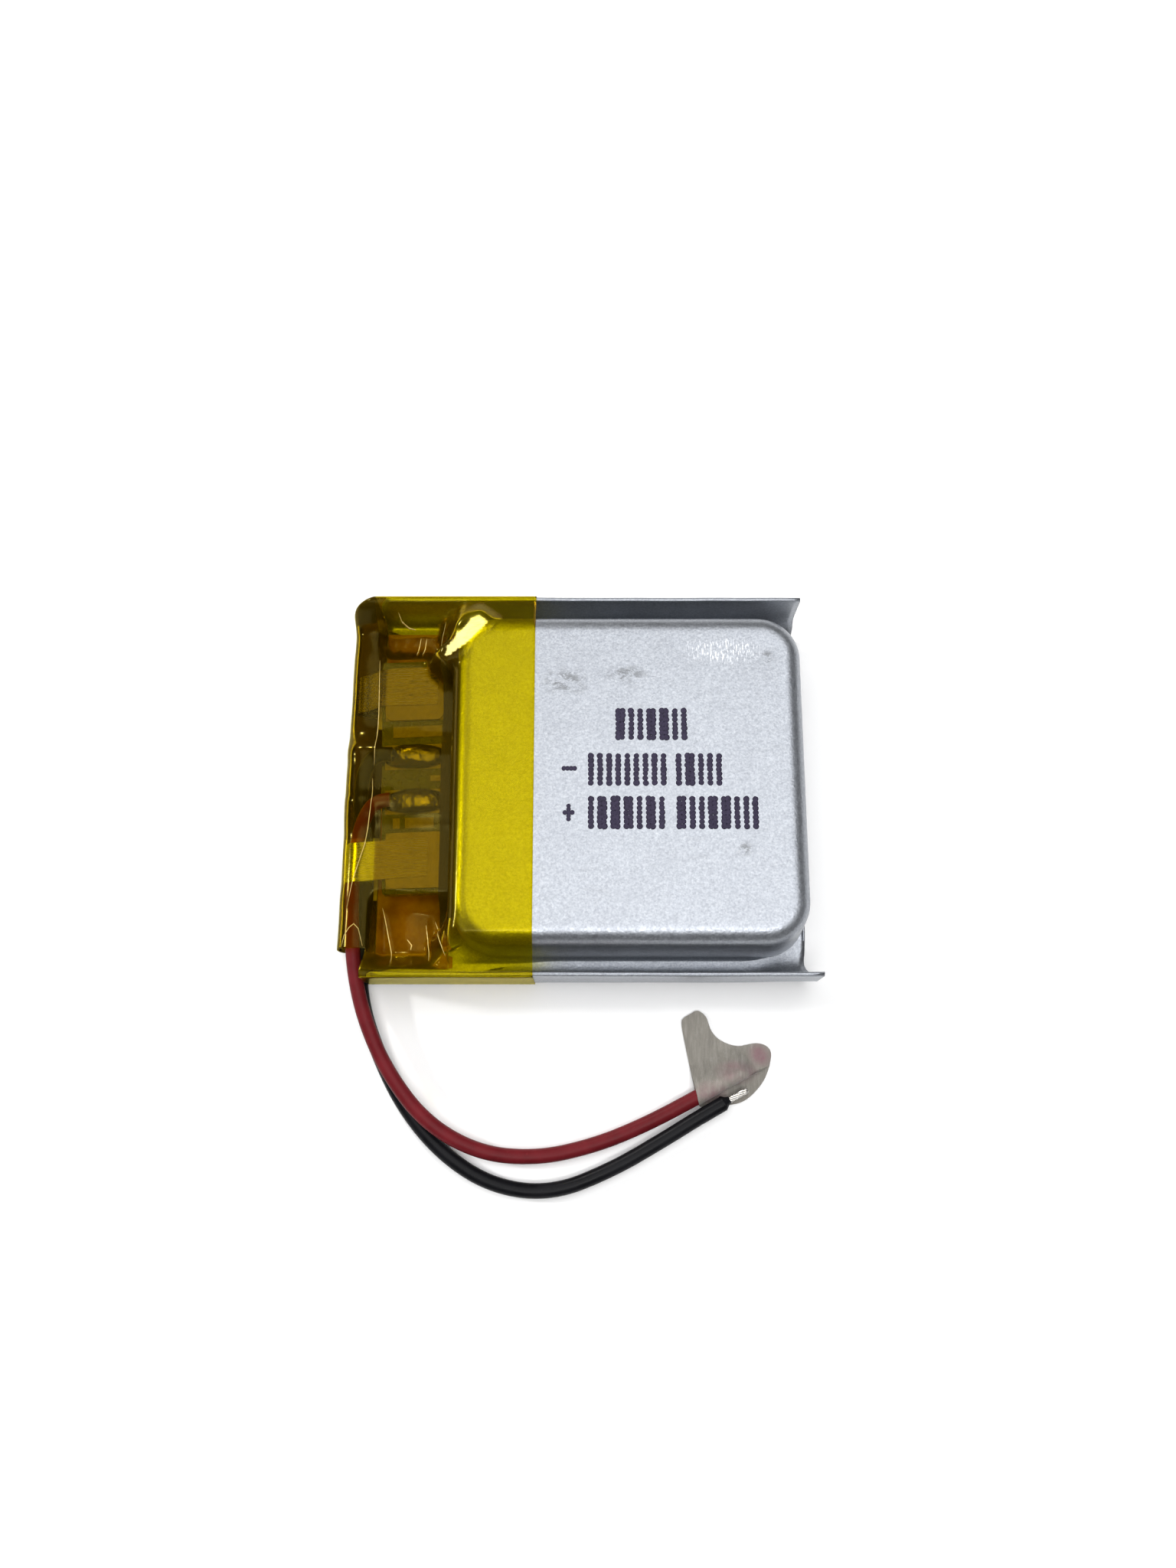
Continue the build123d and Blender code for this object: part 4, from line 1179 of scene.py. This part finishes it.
# Which tone each face takes: the deeper tone over the board and the pocket is partly doubled tape and partly
# painted shade; the darkest tone under the cell and at the pocket's far end and floor is partly layers and
# partly painted shade, and below the cup's end it is purely a painted shadow band. Over the turned tab the tape
# keeps the one-layer tone as a painted highlight.
ONE_LAYER, DOUBLED_AND_SHADED, LAYERS_AND_SHADED = range(3)
for polygon in tape.data.polygons:
    x, y, z = polygon.center / MM
    past_wall = x < WALL_X
    over_board = x < -6.3 and abs(y) < 8.7
    # Painted shadow: a dark band where the tape drops below the cup's end.
    painted_shadow_below_cup_end = -7.1 < x < -6.08 and abs(y) < 7.4
    # Painted highlight: the tape over the turned tab's bend keeps the lighter one-layer tone.
    painted_light_over_turned_tab = x < -10.45 and -5.2 < y < -2.8 and z > 1.2
    polygon.material_index = DOUBLED_AND_SHADED if (over_board or past_wall) and not painted_light_over_turned_tab else ONE_LAYER
    if z < 0.8 and x < -6.6 or past_wall and (y > 9.0 or z < 1.0) or painted_shadow_below_cup_end:
        polygon.material_index = LAYERS_AND_SHADED
thicken(tape, 0.03)
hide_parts("wrap_tape")


def tape_surface(x, y):
    """Height of the tape's outer face, over the terrace or past it in the pocket."""
    if x >= WALL_X:
        return tape_height(x, y)
    top, bottom = upper(y), lower(y)
    share = min(((WALL_X - x) / max(pocket_depth(y), 0.1)) ** (1 / POCKET_SIDE), 1)
    return (top + bottom) / 2 + (top - bottom) / 2 * max(1 - share**2, 0) ** (POCKET_TOP / 2)


# Sharp pinched folds, coloured light amber as painted highlights along the creases: short broad ones, then long
# fine ones
BROAD_FOLDS = [
    ((-10.1, -6.3), (-9.8, -7.6), (-9.4, -9.3)),
    ((-7.8, -7.2), (-7.65, -8.2), (-7.45, -9.2)),
    ((-7.35, -7.0), (-6.95, -8.0), (-6.5, -9.1)),
    ((-8.75, -7.95), (-8.5, -8.25), (-8.55, -8.5)),
    ((-8.55, 8.6), (-8.66, 8.0), (-8.72, 7.5)),
    ((-8.25, 8.6), (-8.32, 8.0), (-8.4, 7.5)),
    ((-7.05, 8.95), (-7.3, 8.2), (-7.65, 7.4)),
    ((-9.6, 9.45), (-9.5, 9.2), (-9.15, 9.0), (-8.8, 8.95)),
]
FINE_FOLDS = [
    ((-10.62, 7.0), (-10.56, 4.0), (-10.6, 1.0)),
    ((-10.65, 0.3), (-10.62, -0.7), (-11.0, -3.1), (-11.55, -5.0), (-11.8, -6.4)),
    ((-12.02, -8.45), (-11.9, -7.85), (-11.65, -7.45), (-11.4, -7.25), (-11.15, -7.5), (-10.9, -8.4)),
]
STEPS = 12
points, faces = [], []
for breadth, line in [(0.85, fold) for fold in BROAD_FOLDS] + [(0.5, fold) for fold in FINE_FOLDS]:
    spans = len(line) - 1
    for part, ((ax, ay), (bx, by)) in enumerate(zip(line, line[1:])):
        size = math.hypot(bx - ax, by - ay)
        side_x, side_y = -(by - ay) / size, (bx - ax) / size
        start = len(points)
        for t in (k / STEPS for k in range(STEPS + 1)):
            x, y = mix(ax, bx, t), mix(ay, by, t)
            ragged = 1 + 0.4 * wobble(ax + bx * t, ay + by * t, 2.0, 0.5)
            swell = math.sin(math.pi * (part + t) / spans) ** 0.7 * ragged
            half = 0.005 + 0.03 * breadth * swell
            for share, lift in ((-1, 0.004), (0, 0.034), (1, 0.004)):
                px, py = x + side_x * half * share, y + side_y * half * share
                points.append((px, py, tape_surface(px, py) + lift))
            points.append((x, y, tape_surface(x, y) - 0.02))
        faces += quads(STEPS + 1, 4, start, close_columns=True)
        end = start + 4 * STEPS
        faces += [[start, start + 1, start + 2, start + 3], [end + 3, end + 2, end + 1, end]]
tape_folds = piece("wrap_tape_fold_highlights", points, faces, FOLD_HIGHLIGHT)
weld(tape_folds, 0.0005)

# ------------------------------------------------------------------ board, tabs and solder

YAW = math.radians(2.2)
BOARD_X, BOARD_Y = -8.55, 0.7
BOARD_TOP = 2.09


def on_board(u, v, z):
    """A point from its place along and across the turned board."""
    return (
        BOARD_X + u * math.cos(YAW) - v * math.sin(YAW),
        BOARD_Y + u * math.sin(YAW) + v * math.cos(YAW),
        z,
    )


# Half width and half thickness of a tab strip, and its middle's height in the seal and over the board
STRIP_HALF, STRIP_SKIN = 1.025, 0.04
STRIP_LOW, STRIP_TOP = 0.16, 2.262
SEAL_X = -5.3
RUN_STEPS, TURN_STEPS, BACK_STEPS = 10, 20, 36


def strip(name, tab_y, turn_x, end_x, skew, spot_xs, droop=0.0):
    """A nickel tab: out of the seal, round its turn and back over the weld pad, with weld spots."""
    radius = (STRIP_TOP - STRIP_LOW) / 2
    path = [(SEAL_X + k * (turn_x - SEAL_X) / RUN_STEPS, STRIP_LOW, 0.0) for k in range(RUN_STEPS + 1)]
    for k in range(1, TURN_STEPS + 1):
        angle = math.pi * k / TURN_STEPS
        path.append((turn_x - radius * math.sin(angle), STRIP_LOW + radius * (1 - math.cos(angle)), 0.0))
    for t in (k / BACK_STEPS for k in range(1, BACK_STEPS + 1)):
        path.append((mix(turn_x, end_x, t), STRIP_TOP, skew * t))
    path = [(x, z * (1 - droop * ease(-10.2, -11.5, x)), shift_y) for x, z, shift_y in path]
    welds = [(x, v) for x in spot_xs for v in (-0.35, 0.35)]
    turned = RUN_STEPS + TURN_STEPS
    count = 23
    middle, normals = [], []
    for k, (x, z, shift_y) in enumerate(path):
        before, after = path[max(k - 1, 0)], path[min(k + 1, len(path) - 1)]
        run_x, run_z = after[0] - before[0], after[1] - before[1]
        size = math.hypot(run_x, run_z)
        for m in range(count):
            v = mix(-STRIP_HALF, STRIP_HALF, m / (count - 1))
            y = tab_y + v + shift_y
            lift = 0.012 * wobble(x, y, z, 0.9)
            if k > turned + 4:
                for weld_x, weld_v in welds:
                    away = math.hypot(x - weld_x, v - weld_v)
                    pit = 0.025 * math.exp(-((away / 0.1) ** 2))
                    lift -= pit - 0.008 * math.exp(-(((away - 0.18) / 0.06) ** 2))
            if RUN_STEPS + 4 < k < turned + 4:
                lift += 0.02 * math.sin(v * 3 + k * 0.4)
            middle.append(Vector((x, y, z + lift * (1 if k > turned else 0.4))))
            normals.append(Vector((-run_z / size, 0, run_x / size)))
    points = [p + normal * side for side in (-STRIP_SKIN, STRIP_SKIN) for p, normal in zip(middle, normals)]
    rows, layer = len(path), len(middle)
    faces = quads(rows, count) + quads(rows, count, layer, flip=True)
    first_side = list(range(0, layer, count))
    first_end = list(range(count))
    for line, flip in (
        (first_side, True),
        ([k + count - 1 for k in first_side], False),
        (first_end, False),
        ([m + layer - count for m in first_end], True),
    ):
        for a, b in zip(line, line[1:]):
            face = [a, b, b + layer, a + layer]
            faces.append(face[::-1] if flip else face)
    made = piece(name, points, faces, NICKEL)
    weld(made, 0.0005)
    sharpen(made, 50)
    return made


negative = strip("negative_tab_strip", 5.5, -10.93, -7.45, 0.1, (-8.9, -8.1), droop=0.4)
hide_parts("negative_tab")
positive = strip("positive_tab_strip", -4.0, -11.1, -7.75, 0.27, (-9.3, -8.5))
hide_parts("positive_tab")


def solder_bead(name, v, seed):
    """A lumpy bead of solder, spread along its pad."""
    points = []
    rows, count = 34, 18
    for i in range(rows):
        u = mix(-1.56, 1.56, i / (rows - 1))
        swell = math.sqrt(max(1 - (u / 1.6) ** 2, 0.02))
        lump = 1 + 0.16 * wobble(u, seed, 0.0, 0.55) + 0.12 * math.sin(u * 2.4 + seed)
        for m in range(count):
            angle = math.pi * m / (count - 1)
            radius = 0.64 * swell * lump
            wide = 0.66 * swell ** 0.6 * (1 + 0.1 * wobble(u * 1.3, seed, angle, 0.8))
            bumpy = 1 + 0.07 * wobble(u * 2, angle * 1.5, seed, 0.4)
            lift = max(math.sin(angle), 0) ** 0.85 * radius * 0.95 * bumpy
            points.append(on_board(u, v - wide * math.cos(angle), BOARD_TOP + 0.03 + lift))
    faces = quads(rows, count, flip=True)
    faces.append(list(range(count)))
    faces.append([(rows - 1) * count + m for m in reversed(range(count))])
    for i in range(rows - 1):
        faces.append([i * count, (i + 1) * count, (i + 1) * count + count - 1, i * count + count - 1])
    made = piece(name, points, faces, SOLDER)
    weld(made, 0.0005)
    return made


black_bead = solder_bead("black_solder_bead", 1.0, 3.0)
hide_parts("black_solder_joint")
red_bead = solder_bead("red_solder_bead", -1.45, 8.0)
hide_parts("red_solder_joint")

# ------------------------------------------------------------------ materials of the CAD nodes that stay

KEPT = {
    "pcm_board": BOARD,
    "board_copper": PAD_METAL,
    "negative_weld_pad": WELD_PAD,
    "positive_weld_pad": WELD_PAD,
    "terrace_tape": TERRACE,
}
for name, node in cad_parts.items():
    made = KEPT.get(name)
    for key, inside_made in INSIDE.items():
        if made is None and key in name:
            made = inside_made
    if made:
        node.data.materials.clear()
        node.data.materials.append(made)

# ------------------------------------------------------------------ floor and light

FLOOR_HALF, FLOOR_Z = 1.2, -0.00002  # metres

floor_data = bpy.data.meshes.new("floor")
corners = [(x * FLOOR_HALF, y * FLOOR_HALF, FLOOR_Z) for x, y in ((-1, -1), (1, -1), (1, 1), (-1, 1))]
floor_data.from_pydata(corners, [], [[0, 1, 2, 3]])
floor = bpy.data.objects.new("floor", floor_data)
scene.collection.objects.link(floor)
paper = Nodes("floor_paper")
paper.set(Base_Color=(0.98, 0.98, 0.98), Roughness=0.9)
floor_data.materials.append(paper.made)

world = bpy.data.worlds.new("world")
scene.world = world
world.use_nodes = True
background = world.node_tree.nodes["Background"]
background.inputs["Color"].default_value = (1, 1, 1, 1)
background.inputs["Strength"].default_value = 0.05


def lamp(name, place, aim, size, power, colour=(1, 1, 1)):
    """A soft rectangular lamp at a place, aimed at a point, with its power in watts."""
    data = bpy.data.lights.new(name, "AREA")
    data.shape = "RECTANGLE"
    data.size, data.size_y = size[0] * MM, size[1] * MM
    data.energy = power
    data.color = colour
    thing = bpy.data.objects.new(name, data)
    scene.collection.objects.link(thing)
    thing.location = Vector(place) * MM
    thing.rotation_euler = (Vector(aim) - Vector(place)).to_track_quat("-Z", "Y").to_euler()


lamp("overhead", (30, 10, 250), (0, 0, 0), (300, 300), 0.72)
lamp("near", (25, -95, 215), (0, -6, 4), (130, 40), 0.12)
lamp("far_left", (-86, 132, 94), (-6, 7, 4), (14, 10), 0.14, (1.0, 0.98, 0.94))
lamp("left", (-150, 20, 90), (-9, 0, 1), (13, 9), 0.09)

bpy.context.view_layer.update()
